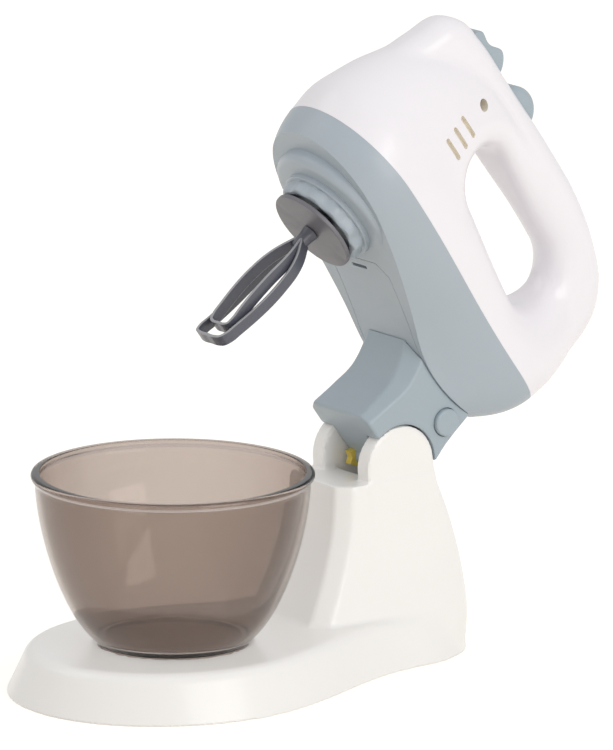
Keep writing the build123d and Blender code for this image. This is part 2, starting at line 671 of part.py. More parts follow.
def handle_outline(inset):
    """Side view of the handle, drawn in by the inset: bent over the body and closed inside the dome."""
    crest = HANDLE_BACK + HANDLE_CROWN + HANDLE_HORN
    line = []
    for place, (p, q) in enumerate(crest):
        before = crest[max(place - 1, 0)]
        after = crest[min(place + 1, len(crest) - 1)]
        run = after[0] - before[0]
        rise = after[1] - before[1]
        reach = inset / hypot(run, rise)
        line.append((p + rise * reach, SEAM_Q + q - run * reach))
    root = SEAM_Q + HANDLE_ROOT + inset
    foot = Polyline(line[-1], (SPINDLE_P, root), (0, root), line[0])
    return make_face(Spline(*line) + foot)


def handle_body():
    """D-shaped handle, thickened and rounded along both sides."""
    handle = slab(handle_outline(0), HANDLE_HALF)
    rims = handle.faces().filter_by(Axis.X).edges().sort_by(SortBy.LENGTH)[-2:]
    return fillet(rims, HANDLE_ROUND)


def handle_hollow():
    """Room inside the handle, narrower than the walls so that the rounded edges stay thick."""
    return slab(handle_outline(HANDLE_WALL), HANDLE_HALF - HANDLE_WALL - HANDLE_CORNER)


def on_grip(edge):
    """True for an edge that runs along the hand opening's mouth on either side."""
    for share in (0.0, 0.5, 1.0):
        spot = edge @ share
        nearest = min(max(-spot.Y, GRIP_REAR), GRIP_FRONT)
        if abs(hypot(-spot.Y - nearest, spot.Z - GRIP_Q) - GRIP_R) > SEAM_TINY or abs(spot.X) < GRIP_ROUND:
            return False
    return (edge @ 0.0).X * (edge @ 1.0).X > 0


SLIDER_FLOOR = HANDLE_TOP - SLIDER_SLOT_DROP
SLIDER_FRONT = SLIDER_P + SLIDER_LENGTH / 2
SLIDER_REAR = SLIDER_P - SLIDER_LENGTH / 2
BUTTON_FRONT = BUTTON_P + BUTTON_LENGTH / 2
BUTTON_REAR = BUTTON_P - BUTTON_LENGTH / 2
BUTTON_FLOOR = HANDLE_TOP - BUTTON_SKIRT - BUTTON_TRAVEL - BUTTON_CLEAR
POWER_TOP_Q = BUTTON_FLOOR - PLUNGER_DROP
SPEED_SWITCH_LENGTH = STEM_LENGTH + SLIDER_TRAVEL + 2 * SWITCH_RIM


def switch_block(p, top, length):
    """Small switch body: a box under the place where its control works."""
    return block(p - length / 2, p + length / 2, -SWITCH_HALF, SWITCH_HALF, top - SWITCH_H, top)


def make_upper_half():
    """Left half of the white dome and its D handle: hollow, with switch seats, vents and screw bosses."""
    dome = stacked(DOME, 0)
    side = block(2 * TAIL_P, 2 * NOSE_P, 0, 2 * SHOULDER, 0, 2 * HANDLE_TOP)
    outer = ((dome + handle_body()) - grip_prism(0)) & side
    outer = fillet(outer.edges().filter_by(on_grip), GRIP_ROUND)
    hollow = (stacked(DOME[:6], HOUSING_WALL) + handle_hollow()) - grip_prism(HANDLE_WALL)
    inner_half = HANDLE_HALF - HANDLE_WALL / 2
    seats = [
        block(SLIDER_REAR - SLIDER_TRAVEL, SLIDER_FRONT, 0, inner_half,
              SWITCH_TOP_Q - SWITCH_H - HANDLE_WALL, SLIDER_FLOOR),
        block(BUTTON_REAR - HANDLE_WALL, BUTTON_FRONT + HANDLE_WALL, 0, inner_half,
              POWER_TOP_Q - SWITCH_H - HANDLE_WALL, BUTTON_FLOOR),
        across(SCREW_P, SCREW_Q, BOSS_D / 2, 0, SHOULDER / 2),
    ]
    seats.append(upright(BELLY_SCREW_P, BELLY_SCREW_X, BOSS_D / 2, SEAM_Q, GRIP_Q))
    shell = (outer - hollow) + [seat & outer for seat in seats]
    stem_rear = SLIDER_P - STEM_LENGTH / 2 - SLIDER_TRAVEL - BUTTON_CLEAR
    stem_front = SLIDER_P + STEM_LENGTH / 2 + BUTTON_CLEAR
    rim_half = SLIDER_HALF + BUTTON_CLEAR
    stem_half = STEM_HALF + BUTTON_CLEAR
    pocket_half = BUTTON_HALF + BUTTON_CLEAR
    cuts = [
        block(SLIDER_REAR - SLIDER_TRAVEL - BUTTON_CLEAR, SLIDER_FRONT + BUTTON_CLEAR, -rim_half, rim_half,
              SLIDER_FLOOR, 2 * HANDLE_TOP),
        block(stem_rear, stem_front, -stem_half, stem_half, SWITCH_TOP_Q, HANDLE_TOP),
        switch_block(SLIDER_P - SLIDER_TRAVEL / 2, SWITCH_TOP_Q, SPEED_SWITCH_LENGTH),
        block(BUTTON_REAR - BUTTON_CLEAR, BUTTON_FRONT + BUTTON_CLEAR, -pocket_half, pocket_half,
              BUTTON_FLOOR, 2 * HANDLE_TOP),
        upright(BUTTON_P, 0, PLUNGER_D / 2 + BUTTON_CLEAR, POWER_TOP_Q, HANDLE_TOP),
        switch_block(BUTTON_P, POWER_TOP_Q, POWER_SWITCH_LENGTH),
    ]
    for row in range(VENT_COUNT):
        vent = Pos(VENT_P, SEAM_Q + VENT_RISE + row * VENT_PITCH) * SlotOverall(VENT_LENGTH, VENT_WIDTH)
        cuts.append(slab(vent, 2 * SHOULDER))
    cuts.append(upright(BELLY_SCREW_P, BELLY_SCREW_X, SCREW_D / 2, SEAM_Q, SEAM_Q + LOWER_SCREW_DEPTH))
    return shell - cuts


def cross_screw_hole():
    """Hole across both white halves, with a deep seat for the screw's head on the left."""
    head_r = SCREW_HEAD_D / 2 + PLATE_CLEAR
    hole = across(SCREW_P, SCREW_Q, SCREW_D / 2, HEAD_SEAT_X - SCREW_LENGTH, HEAD_SEAT_X)
    return hole + across(SCREW_P, SCREW_Q, head_r, HEAD_SEAT_X, 2 * SHOULDER)


def screw_up(p, x, head_q, length):
    """Pan-head screw driven upwards, with the head's upper face at a height."""
    head = upright(p, x, SCREW_HEAD_D / 2, head_q - HEAD_THIN, head_q)
    return head + upright(p, x, SCREW_D / 2, head_q, head_q + length)


def make_door_screw():
    """Screw that locks the battery door."""
    return screw_up(DOOR_SCREW_P, 0, SADDLE_Q + DOOR_SCREW_SINK, DOOR_SCREW_LENGTH)


def make_belly_screws():
    """Screws from under the belly up into the white housing, one in each half."""
    length = LOWER_SCREW_GRIP + LOWER_SCREW_DEPTH - HEAD_THIN
    return Compound([screw_up(p, x, SEAM_Q - LOWER_SCREW_GRIP, length) for p, x in LOWER_SCREWS])


def make_housing_screw():
    """Screw across the nose of the handle that pulls the two white halves together."""
    head = across(SCREW_P, SCREW_Q, SCREW_HEAD_D / 2, HEAD_SEAT_X, HEAD_SEAT_X + HEAD_THIN)
    return head + across(SCREW_P, SCREW_Q, SCREW_D / 2, HEAD_SEAT_X + HEAD_THIN - SCREW_LENGTH, HEAD_SEAT_X)


def along(x, radius, p0, p1, end_radius):
    """A round bar or cone along the mixer, in line with a battery."""
    plane = Plane(origin=(x, -p0, CELL_Q), x_dir=(1, 0, 0), z_dir=(0, -1, 0))
    if radius == end_radius:
        return extrude(plane * Circle(radius), amount=p1 - p0)
    return loft([plane * Circle(radius), plane.offset(p1 - p0) * Circle(end_radius)])


CELL_FRONT = CELL_REAR + CELL_LENGTH
CELL_X = CELL_PITCH / 2


def make_aa_cells():
    """Two round cells side by side, pointing opposite ways."""
    cell_r = CELL_D / 2
    nub_r = CELL_NUB_D / 2
    first = along(CELL_X, cell_r, CELL_REAR, CELL_FRONT, cell_r)
    first += along(CELL_X, nub_r, CELL_FRONT, CELL_FRONT + CELL_NUB, nub_r)
    second = along(-CELL_X, cell_r, CELL_REAR, CELL_FRONT, cell_r)
    second += along(-CELL_X, nub_r, CELL_REAR - CELL_NUB, CELL_REAR, nub_r)
    return Compound([first, second])


def make_battery_contacts():
    """Spring-steel end plates: one bridge behind the cells, and two terminals in front of them."""
    low = CELL_Q - CONTACT_HALF
    high = CELL_Q + CONTACT_HALF
    nub_r = CELL_NUB_D / 2
    reach = CELL_X + CONTACT_HALF
    rear = block(BAY_REAR, BAY_REAR + CONTACT_THICK, -reach, reach, low, high)
    rear += along(CELL_X, CONTACT_HALF, BAY_REAR + CONTACT_THICK, CELL_REAR, nub_r)
    rear += along(-CELL_X, nub_r, BAY_REAR + CONTACT_THICK, CELL_REAR - CELL_NUB, nub_r)
    plates = [rear]
    for side in (-1, 1):
        x = side * CELL_X
        plate = block(BAY_FRONT - CONTACT_THICK, BAY_FRONT, x - CONTACT_HALF, x + CONTACT_HALF, low, high)
        if side > 0:
            plate += along(x, nub_r, CELL_FRONT + CELL_NUB, BAY_FRONT - CONTACT_THICK, nub_r)
        else:
            plate += along(x, nub_r, CELL_FRONT, BAY_FRONT - CONTACT_THICK, CONTACT_HALF)
        plates.append(plate)
    return Compound(plates)


def gear(teeth, height, q, p, x, facing, gap_first):
    """Spur gear: chords along each involute flank, thinned for backlash, tooth or gap towards an angle."""
    pitch = MODULE * teeth / 2
    base = pitch * cos(radians(PRESSURE))
    tip = pitch + ADDENDUM * MODULE
    root = pitch - DEDENDUM * MODULE

    def sweep(radius):
        angle = acos(min(1.0, base / radius))
        return tan(angle) - angle

    half = pi / (2 * teeth) - BACKLASH / (2 * pitch) + sweep(pitch)
    foot = max(base, root)
    radii = [foot + (tip - foot) * step / FLANK_STEPS for step in range(FLANK_STEPS + 1)]
    flank = [(radius, half - sweep(radius)) for radius in radii]
    if root < base:
        flank.insert(0, (root, flank[0][1]))
    rim = []
    start = facing + (pi / teeth if gap_first else 0.0)
    for tooth in range(teeth):
        middle = start + 2 * pi * tooth / teeth
        for radius, spread in flank:
            rim.append((radius * cos(middle - spread), radius * sin(middle - spread)))
        for radius, spread in reversed(flank):
            rim.append((radius * cos(middle + spread), radius * sin(middle + spread)))
    wheel = make_face(Polyline(*rim, close=True))
    return extrude(level_plane(q) * Pos(p, x) * wheel, amount=height)


TO_IDLER = atan2(IDLER_X, IDLER_P - SPINDLE_P)
TO_MOTOR = atan2(-IDLER_X, MOTOR_P - IDLER_P)
SPINDLE_TOP = PLATE_Q + PLATE_H


def make_output_gear():
    """Large gear pressed on the spindle."""
    wheel = gear(OUTPUT_TEETH, DRIVE_GEAR_H, DRIVE_Q, SPINDLE_P, 0, TO_IDLER, False)
    return wheel - upright(SPINDLE_P, 0, SPINDLE_D / 2, DRIVE_Q, SPINDLE_TOP)


def make_idler_gear():
    """Double gear between the motor and the output: small teeth below, large teeth above."""
    idler = gear(IDLER_PINION_TEETH, DRIVE_GEAR_H, DRIVE_Q, IDLER_P, IDLER_X, TO_IDLER + pi, True)
    idler += gear(IDLER_TEETH, IDLER_GEAR_H, IDLER_Q, IDLER_P, IDLER_X, TO_MOTOR, False)
    idler += upright(IDLER_P, IDLER_X, IDLER_HUB_D / 2, DRIVE_Q, IDLER_Q + IDLER_GEAR_H)
    return idler - upright(IDLER_P, IDLER_X, AXLE_D / 2 + RUN_CLEAR, DRIVE_Q, SPINDLE_TOP)


def make_motor_pinion():
    """Motor shaft with its small gear."""
    pinion = gear(PINION_TEETH, IDLER_GEAR_H, IDLER_Q, MOTOR_P, 0, TO_MOTOR + pi, True)
    return pinion + upright(MOTOR_P, 0, AXLE_D / 2, IDLER_Q, SPINDLE_TOP + SHAFT_IN)


def make_idler_axle():
    """Plain steel axle between the belly's boss and the gear plate."""
    return upright(IDLER_P, IDLER_X, AXLE_D / 2, FLOOR_Q, SPINDLE_TOP)


def make_gear_plate():
    """Plate over the gears, on three posts: it steadies the spindle and the axle and carries the motor."""
    rounds = [(p, x, POST_D / 2 + PLATE_RIM) for p, x in POSTS]
    rounds += [(MOTOR_P, 0, MOTOR_D / 2), (IDLER_P, IDLER_X, POST_D / 2), (SPINDLE_P, 0, SPINDLE_D)]
    outline = make_hull([Pos(p, x) * CenterArc((0, 0), radius, 0, 360).edge() for p, x, radius in rounds])
    plate = extrude(level_plane(PLATE_Q) * outline, amount=PLATE_H)
    holes = [upright(p, x, SCREW_D / 2 + PLATE_CLEAR, PLATE_Q, SPINDLE_TOP) for p, x in POSTS]
    holes += [
        upright(MOTOR_P, 0, MOTOR_BOSS_D / 2, PLATE_Q, SPINDLE_TOP),
        upright(IDLER_P, IDLER_X, AXLE_D / 2, PLATE_Q, SPINDLE_TOP),
        upright(SPINDLE_P, 0, SPINDLE_D / 2 + RUN_CLEAR, PLATE_Q, SPINDLE_TOP),
    ]
    return plate - holes


def make_gear_plate_screws():
    """Screws that hold the gear plate on its posts."""
    screws = []
    for p, x in POSTS:
        head = upright(p, x, SCREW_HEAD_D / 2, SPINDLE_TOP, SPINDLE_TOP + HEAD_THIN)
        screws.append(head + upright(p, x, SCREW_D / 2, FLOOR_Q + 2 * FLOOR_THICK, SPINDLE_TOP))
    return Compound(screws)


def make_motor():
    """Small can motor with two flats, a locating boss below and a bore for its shaft."""
    can = upright(MOTOR_P, 0, MOTOR_D / 2, SPINDLE_TOP, SPINDLE_TOP + MOTOR_H)
    flat = MOTOR_FLAT / 2
    can &= block(MOTOR_P - MOTOR_D, MOTOR_P + MOTOR_D, -flat, flat, SPINDLE_TOP, SPINDLE_TOP + MOTOR_H)
    can += upright(MOTOR_P, 0, MOTOR_BOSS_D / 2, SPINDLE_TOP - MOTOR_BOSS, SPINDLE_TOP)
    return can - upright(MOTOR_P, 0, AXLE_D / 2 + RUN_CLEAR, PLATE_Q, SPINDLE_TOP + SHAFT_IN + GEAR_GAP)


def make_drive_spindle():
    """Steel spindle with a blind bore below for the beater's stem."""
    spindle = upright(SPINDLE_P, 0, SPINDLE_D / 2, DISC_Q, SPINDLE_TOP)
    return spindle - upright(SPINDLE_P, 0, BEATER_STEM_D / 2 + RUN_CLEAR, 0, DISC_Q + BEATER_STEM)


def make_spindle_bush():
    """Flanged bush in the floor of the nose."""
    bush = upright(SPINDLE_P, 0, BUSH_D / 2, SOLE_Q, FLOOR_Q)
    bush += upright(SPINDLE_P, 0, BUSH_FLANGE_D / 2, FLOOR_Q, FLOOR_Q + BUSH_FLANGE)
    return bush - upright(SPINDLE_P, 0, SPINDLE_D / 2 + RUN_CLEAR, 0, SEAM_Q)


def make_nose_collar():
    """Stepped collar under the nose: a flange, then a ring with finger lobes round a dark recess."""
    collar_q = SOLE_Q - COLLAR_H
    lobed = Circle(COLLAR_RING_D / 2)
    lobed += [loc * Circle(COLLAR_LOBE_R) for loc in PolarLocations(COLLAR_LOBE_PCR, COLLAR_LOBES)]
    collar = extrude(level_plane(collar_q) * Pos(SPINDLE_P, 0) * lobed, amount=COLLAR_H)
    collar = chamfer(collar.edges().group_by(Axis.Z)[0], COLLAR_CHAMFER)
    collar += upright(SPINDLE_P, 0, COLLAR_D / 2, SOLE_Q - COLLAR_FLANGE, SOLE_Q)
    return collar - [
        upright(SPINDLE_P, 0, COLLAR_RECESS_D / 2, 0, collar_q + COLLAR_RECESS),
        upright(SPINDLE_P, 0, SPINDLE_D / 2 + DISC_HUB_ROOM, 0, SEAM_Q),
    ]


def make_splash_disc():
    """Disc that turns with the spindle, with a hub up into the collar's recess."""
    disc = upright(SPINDLE_P, 0, DISC_D / 2, DISC_Q, DISC_Q + DISC_THICK)
    disc = fillet(disc.edges().group_by(Axis.Z)[0], DISC_THICK / 3)
    hub_top = SOLE_Q - COLLAR_H + COLLAR_RECESS - DISC_HUB_ROOM
    disc += upright(SPINDLE_P, 0, DISC_HUB_D / 2, DISC_Q, hub_top)
    return disc - upright(SPINDLE_P, 0, SPINDLE_D / 2, 0, SEAM_Q)


def beater_loop(tip, reach):
    """One ribbon loop of the beater, drawn across the spindle: narrow at the hub, with a bowed tip."""
    top = DISC_Q - BEATER_GAP - BEATER_HUB / 2

    def outline(inset):
        half = reach - inset
        low = tip + inset
        neck = BEATER_NECK - inset
        bulge = (half, top - BEATER_SWELL)
        corner = (half, low + BEATER_CORNER)
        side = Bezier((neck, top), bulge, bulge, corner)
        side += Bezier(corner, (half, low + BEATER_BOW), (half * BEATER_TIP_SHARE, low), (0, low))
        return side

    outer = outline(0)
    inner = outline(BEATER_RIBBON)
    edge = Line((BEATER_NECK, top), (BEATER_NECK - BEATER_RIBBON, top))
    end = Line((0, tip), (0, tip + BEATER_RIBBON))
    ribbon = make_face(outer + inner + edge + end)
    half = extrude(Plane.XZ * ribbon, amount=BEATER_DEPTH / 2, both=True)
    return half + mirror(half, Plane.YZ)


def make_beater():
    """Beater: stem and hub with two crossed ribbon loops, one longer than the other."""
    hub_top = DISC_Q - BEATER_GAP
    stem_top = DISC_Q + BEATER_STEM - BEATER_GAP
    hub = Pos(0, 0, hub_top - BEATER_HUB / 2) * Cylinder(BEATER_HUB_D / 2, BEATER_HUB)
    stem = Pos(0, 0, (hub_top + stem_top) / 2) * Cylinder(BEATER_STEM_D / 2, stem_top - hub_top)
    long_loop = beater_loop(BEATER_LONG_Q, BEATER_LONG_HALF)
    short_loop = beater_loop(BEATER_SHORT_Q, BEATER_SHORT_HALF)
    beater = hub + [stem, long_loop, Rot(0, 0, 90) * short_loop]
    return Pos(0, -SPINDLE_P, 0) * Rot(0, 0, BEATER_TURN) * beater


def make_speed_slider():
    """Two-humped thumb slider with a stem down to its switch."""
    low = SLIDER_FLOOR + SLIDE_CLEAR
    crest = [(SLIDER_P + step, HANDLE_TOP + rise) for step, rise in SLIDER_HUMPS]
    humps = Spline((SLIDER_REAR, low + SLIDER_EDGE), *crest, (SLIDER_FRONT, low + SLIDER_EDGE))
    sides = Polyline((SLIDER_FRONT, low + SLIDER_EDGE), (SLIDER_FRONT, low), (SLIDER_REAR, low),
                     (SLIDER_REAR, low + SLIDER_EDGE))
    slider = slab(make_face(humps + sides), SLIDER_HALF)
    rims = slider.edges().filter_by(GeomType.BSPLINE)
    slider = fillet(rims, BUTTON_EDGE_R)
    stem_q = SWITCH_TOP_Q - SWITCH_GROOVE + SLIDE_CLEAR
    half = STEM_LENGTH / 2
    return slider + block(SLIDER_P - half, SLIDER_P + half, -STEM_HALF, STEM_HALF, stem_q, low)


def make_speed_switch():
    """Slide switch under the slider, grooved for the slider's stem."""
    middle = SLIDER_P - SLIDER_TRAVEL / 2
    groove = (STEM_LENGTH + SLIDER_TRAVEL) / 2 + BUTTON_CLEAR
    half = STEM_HALF + BUTTON_CLEAR
    body = switch_block(middle, SWITCH_TOP_Q, SPEED_SWITCH_LENGTH)
    floor = SWITCH_TOP_Q - SWITCH_GROOVE
    return body - block(middle - groove, middle + groove, -half, half, floor, SWITCH_TOP_Q)


def make_power_button():
    """Domed push button with a straight skirt in its pocket and a plunger below."""
    base = HANDLE_TOP - BUTTON_SKIRT
    front = (BUTTON_FRONT, HANDLE_TOP)
    rear = (BUTTON_REAR, HANDLE_TOP)
    dome = ThreePointArc(rear, (BUTTON_P, HANDLE_TOP + BUTTON_RISE), front)
    sides = Polyline(front, (BUTTON_FRONT, base), (BUTTON_REAR, base), rear)
    button = slab(make_face(dome + sides), BUTTON_HALF)
    button = fillet(button.edges().filter_by(GeomType.CIRCLE), BUTTON_ROUND)
    tip = POWER_TOP_Q + BUTTON_TRAVEL + SLIDE_CLEAR
    return button + upright(BUTTON_P, 0, PLUNGER_D / 2, tip, base)


def make_power_switch():
    """Push switch below the power button."""
    return switch_block(BUTTON_P, POWER_TOP_Q, POWER_SWITCH_LENGTH)


STAND_PIECES = (
    ("stand_shell", make_stand),
    ("base_plate", make_base_plate),
    ("base_screws", make_base_screws),
    ("hinge_pin", make_hinge_pin),
    ("bowl", make_bowl),
)
TIPPED_PIECES = (
    ("tilt_arm", make_tilt_arm),
    ("detent_cam", make_detent_cam),
    ("release_button", make_release_button),
    ("latch_tongue", make_latch_tongue),
    ("lower_housing", make_lower_housing),
    ("battery_door", make_battery_door),
    ("door_screw", make_door_screw),
    ("belly_screws", make_belly_screws),
    ("housing_screw", make_housing_screw),
    ("aa_cells", make_aa_cells),
    ("battery_contacts", make_battery_contacts),
    ("motor", make_motor),
    ("motor_pinion", make_motor_pinion),
    ("gear_plate", make_gear_plate),
    ("gear_plate_screws", make_gear_plate_screws),
    ("idler_axle", make_idler_axle),
    ("idler_gear", make_idler_gear),
    ("drive_spindle", make_drive_spindle),
    ("output_gear", make_output_gear),
    ("spindle_bush", make_spindle_bush),
    ("nose_collar", make_nose_collar),
    ("splash_disc", make_splash_disc),
    ("beater", make_beater),
    ("speed_slider", make_speed_slider),
    ("speed_switch", make_speed_switch),
    ("power_button", make_power_button),
    ("power_switch", make_power_switch),
)

for piece_name, make_piece in STAND_PIECES:
    save(make_piece(), piece_name)
for piece_name, make_piece in TIPPED_PIECES:
    save(RAISED * make_piece(), piece_name)
white_half = make_upper_half()
save(RAISED * (white_half - cross_screw_hole()), "upper_housing_left")
save(RAISED * (mirror(white_half, Plane.YZ) - cross_screw_hole()), "upper_housing_right")
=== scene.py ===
"""Toy stand mixer: the looks of each piece, its finishes, and a plain studio round it.

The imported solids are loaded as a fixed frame. Shapes are worked out in millimetres and put into it in metres.
The mixer and its cradle use two directions from the tilt pivot: p forward and q up, raised by the tilt.
"""
import contextlib
import math

import bmesh
import bpy
import numpy as np
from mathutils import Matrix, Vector


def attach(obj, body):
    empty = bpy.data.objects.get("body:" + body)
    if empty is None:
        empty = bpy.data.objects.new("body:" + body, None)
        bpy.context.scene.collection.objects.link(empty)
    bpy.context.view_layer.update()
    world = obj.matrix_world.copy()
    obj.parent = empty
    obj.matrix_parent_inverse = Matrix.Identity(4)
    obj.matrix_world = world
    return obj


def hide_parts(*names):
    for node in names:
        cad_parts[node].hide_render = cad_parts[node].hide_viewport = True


bl_info = {
    "name": "Toy stand mixer",
    "version": (1, 0, 0),
    "blender": (4, 5, 0),
    "location": "View3D > Sidebar > Mixer",
    "description": "Builds the visible pieces of a toy stand mixer and a studio round it",
    "category": "Object",
}

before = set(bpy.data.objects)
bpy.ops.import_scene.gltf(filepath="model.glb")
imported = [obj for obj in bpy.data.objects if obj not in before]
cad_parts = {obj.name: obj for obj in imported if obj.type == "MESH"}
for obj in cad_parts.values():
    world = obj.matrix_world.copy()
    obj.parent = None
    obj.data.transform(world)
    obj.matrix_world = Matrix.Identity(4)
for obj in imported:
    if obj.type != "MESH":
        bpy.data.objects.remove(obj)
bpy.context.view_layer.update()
PHOTO_WIDTH = 613
PHOTO_HEIGHT = 750
SENSOR_WIDTH = 36.0
SIGHT = 50.0
LAMP_AIM = Vector((0.0, 0.0, 0.12))
KEY_SIZE = 1.4
KEY_SPOT = (2.0, 0.2, 0.9)
FILL_SIZE = 1.2
FILL_SPOT = (-0.9, -1.1, 1.5)
FLOOR_REACH = 4.0
PLAIN_WHITE = (1.0, 1.0, 1.0, 1.0)
PAPER = (0.86, 0.82, 0.76, 1.0)
PAPER_GLOW = 0.42


def linear(red, green, blue):
    """Linear colour of a display colour given as 0 to 255."""
    share = np.array([red, green, blue]) / 255.0
    return tuple(np.where(share <= 0.04045, share / 12.92, ((share + 0.055) / 1.055) ** 2.4))


def tint(name, description, display):
    """A colour setting with a display colour as its default."""
    return bpy.props.FloatVectorProperty(
        name=name, description=description, subtype="COLOR", size=3, min=0.0, max=1.0, default=linear(*display)
    )


def number(name, description, default, **kind):
    """A number setting, with a kind of measure if it has one."""
    return bpy.props.FloatProperty(name=name, description=description, default=default, **kind)


class MixerColours(bpy.types.PropertyGroup):
    """Base colours of the plastics and metals."""

    white: tint("White", "Upper housing and handle", (240, 237, 241))
    ivory: tint("Ivory", "Stand and closing plate", (243, 241, 238))
    grey: tint("Blue grey", "Belly and collar", (171, 181, 189))
    cradle: tint("Cradle grey", "Tilting cradle and the three controls", (162, 175, 183))
    smoke: tint("Smoke", "See-through bowl", (190, 178, 171))
    dark: tint("Dark grey", "Beater, gear plate and switches", (82, 84, 94))
    disc: tint("Disc grey", "Splash disc", (113, 111, 117))
    yellow: tint("Yellow", "Stop cam on the hinge", (232, 205, 90))
    steel: tint("Steel", "Pins, screws, motor and contacts", (190, 190, 194))
    gear: tint("Gear white", "Gears and bush", (226, 222, 208))
    brass: tint("Brass", "Motor pinion", (206, 172, 96))
    wrap: tint("Cell wrap", "Battery sleeves", (70, 74, 82))
    # Painted shade: a warm cream for the insides of the vents, recesses and screw hole, standing in for the warm
    # shade that falls there on the white plastic
    liner: tint("Liner", "Inside of the vents and recesses", (246, 240, 228))


class MixerStage(bpy.types.PropertyGroup):
    """Camera and studio."""

    azimuth: number("Azimuth", "Camera angle round the stand", math.radians(53.4), subtype="ANGLE")
    elevation: number("Elevation", "Camera angle above the floor", math.radians(13.33), subtype="ANGLE")
    distance: number("Distance", "From the camera to the point it looks at", 5.0, unit="LENGTH")
    focal_pixels: number("Focal length", "In pixels of the picture", 11895.0)
    target: bpy.props.FloatVectorProperty(
        name="Target", description="Point at the middle of the picture", subtype="XYZ", unit="LENGTH",
        default=(0.0336, 0.0082, 0.135),
    )
    key_power: number("Key light", "Large softbox", 15.5, unit="POWER")
    fill_power: number("Fill light", "Side softbox", 3.0, unit="POWER")
    sky: number("Sky", "Strength of the even light all round", 0.72)


def settings():
    """The add-on's settings on the scene."""
    return bpy.context.scene.mixer_colours, bpy.context.scene.mixer_stage


class Wiring:
    """A small helper that adds and links nodes in one tree."""

    # Places of the colours among a mix node's sockets
    FIRST, SECOND, RESULT = 6, 7, 2

    def __init__(self, tree):
        self.tree = tree

    def feed(self, socket, value):
        """Link an input to another node's socket, or set its plain value."""
        if isinstance(value, bpy.types.NodeSocket):
            self.tree.links.new(value, socket)
        else:
            socket.default_value = value

    def node(self, kind, **inputs):
        """Add a node and feed its inputs by name."""
        made = self.tree.nodes.new(kind)
        for name, value in inputs.items():
            self.feed(made.inputs[name], value)
        return made

    def math(self, operation, first, second):
        """A maths node on two values or sockets."""
        made = self.tree.nodes.new("ShaderNodeMath")
        made.operation = operation
        for socket, value in zip(made.inputs, (first, second)):
            self.feed(socket, value)
        return made.outputs[0]

    def blend(self, share, first, second):
        """A colour that goes from the first to the second with the share."""
        made = self.node("ShaderNodeMix", Factor=share)
        made.data_type = "RGBA"
        self.feed(made.inputs[self.FIRST], first)
        self.feed(made.inputs[self.SECOND], second)
        return made.outputs[self.RESULT]

    def choose(self, share, first, second):
        """A shader that goes from the first node's to the second's with the share."""
        made = self.tree.nodes.new("ShaderNodeMixShader")
        for socket, value in zip(made.inputs, (share, first.outputs[0], second.outputs[0])):
            self.feed(socket, value)
        return made.outputs[0]


# Noises of moulded plastic: size, detail and roughness
NOISES = {"Grain": (900.0, 2.0, 0.5), "Mottle": (22.0, 3.0, 0.5), "Rub": (75.0, 6.0, 0.7)}
RUB_FROM = 0.52
RUB_FULL = 0.78
RUB_ROUGHNESS = 0.16
GRAIN_HEIGHT = 0.0002
COAT_ROUGHNESS = 0.12
SMOKE_INDEX = 1.45
SMOKE_SPREAD = 0.05
SMOKE_ROUGHNESS = 0.04
SMOKE_RUB = 0.05
# Smoky plastic: how fast it darkens to its edge, and its colour's powers at the edge and in its shadow
SMOKE_GRAZE = 1.15
SMOKE_EDGE = 2.6
SMOKE_SHADOW = 0.09
# Finishes: roughness, spread of the colour, bump, and where they have them coat, metal and pale edge, which is a
# painted highlight
FINISHES = {
    "white": (0.28, 0.012, 0.02, 0.25),
    "ivory": (0.30, 0.012, 0.02, 0.2),
    "grey": (0.36, 0.03, 0.05, 0.1),
    "cradle": (0.36, 0.03, 0.05, 0.1),
    "dark": (0.34, 0.06, 0.05, 0.1),
    "beater": (0.30, 0.06, 0.05, 0.2, 0.0, 0.28),
    "disc": (0.38, 0.05, 0.05),
    "yellow": (0.30, 0.04, 0.03),
    "steel": (0.30, 0.05, 0.03, 0.0, 1.0),
    "gear": (0.42, 0.03, 0.04),
    "brass": (0.28, 0.05, 0.03, 0.0, 1.0),
    "wrap": (0.25, 0.05, 0.03),
    # Finish of the painted warm shade inside the vents, recesses and screw hole
    "liner": (0.45, 0.03, 0.03),
}


def grain_group():
    """Moulded plastic: fine grain height, slow mottle and sparse rubbed spots, from Object coordinates."""
    found = bpy.data.node_groups.get("moulded_grain")
    if found:
        return found
    group = bpy.data.node_groups.new("moulded_grain", "ShaderNodeTree")
    face = group.interface
    for name, (size, _, _) in NOISES.items():
        face.new_socket(name + " Size", in_out="INPUT", socket_type="NodeSocketFloat").default_value = size
    for name in NOISES:
        face.new_socket(name, in_out="OUTPUT", socket_type="NodeSocketFloat")
    wire = Wiring(group)
    entry = group.nodes.new("NodeGroupInput")
    leave = group.nodes.new("NodeGroupOutput")
    place = group.nodes.new("ShaderNodeTexCoord").outputs["Object"]
    for name, (_, detail, rough) in NOISES.items():
        size = entry.outputs[name + " Size"]
        noise = wire.node("ShaderNodeTexNoise", Vector=place, Scale=size, Detail=detail, Roughness=rough)
        shown = noise.outputs["Fac"]
        if name == "Rub":
            ramp = wire.node("ShaderNodeMapRange", Value=shown)
            ramp.inputs["From Min"].default_value = RUB_FROM
            ramp.inputs["From Max"].default_value = RUB_FULL
            shown = ramp.outputs["Result"]
        wire.feed(leave.inputs[name], shown)
    return group


def begin_finish(name, colour, spread):
    """A new material, its wiring, its grain, and its colour mottled darker and lighter by the spread."""
    material = bpy.data.materials.new(name)
    material.use_nodes = True
    wire = Wiring(material.node_tree)
    grain = material.node_tree.nodes.new("ShaderNodeGroup")
    grain.node_tree = grain_group()
    low = [channel * (1.0 - spread) for channel in colour]
    high = [min(1.0, channel * (1.0 + spread)) for channel in colour]
    return material, wire, grain, wire.blend(grain.outputs["Mottle"], (*low, 1.0), (*high, 1.0))


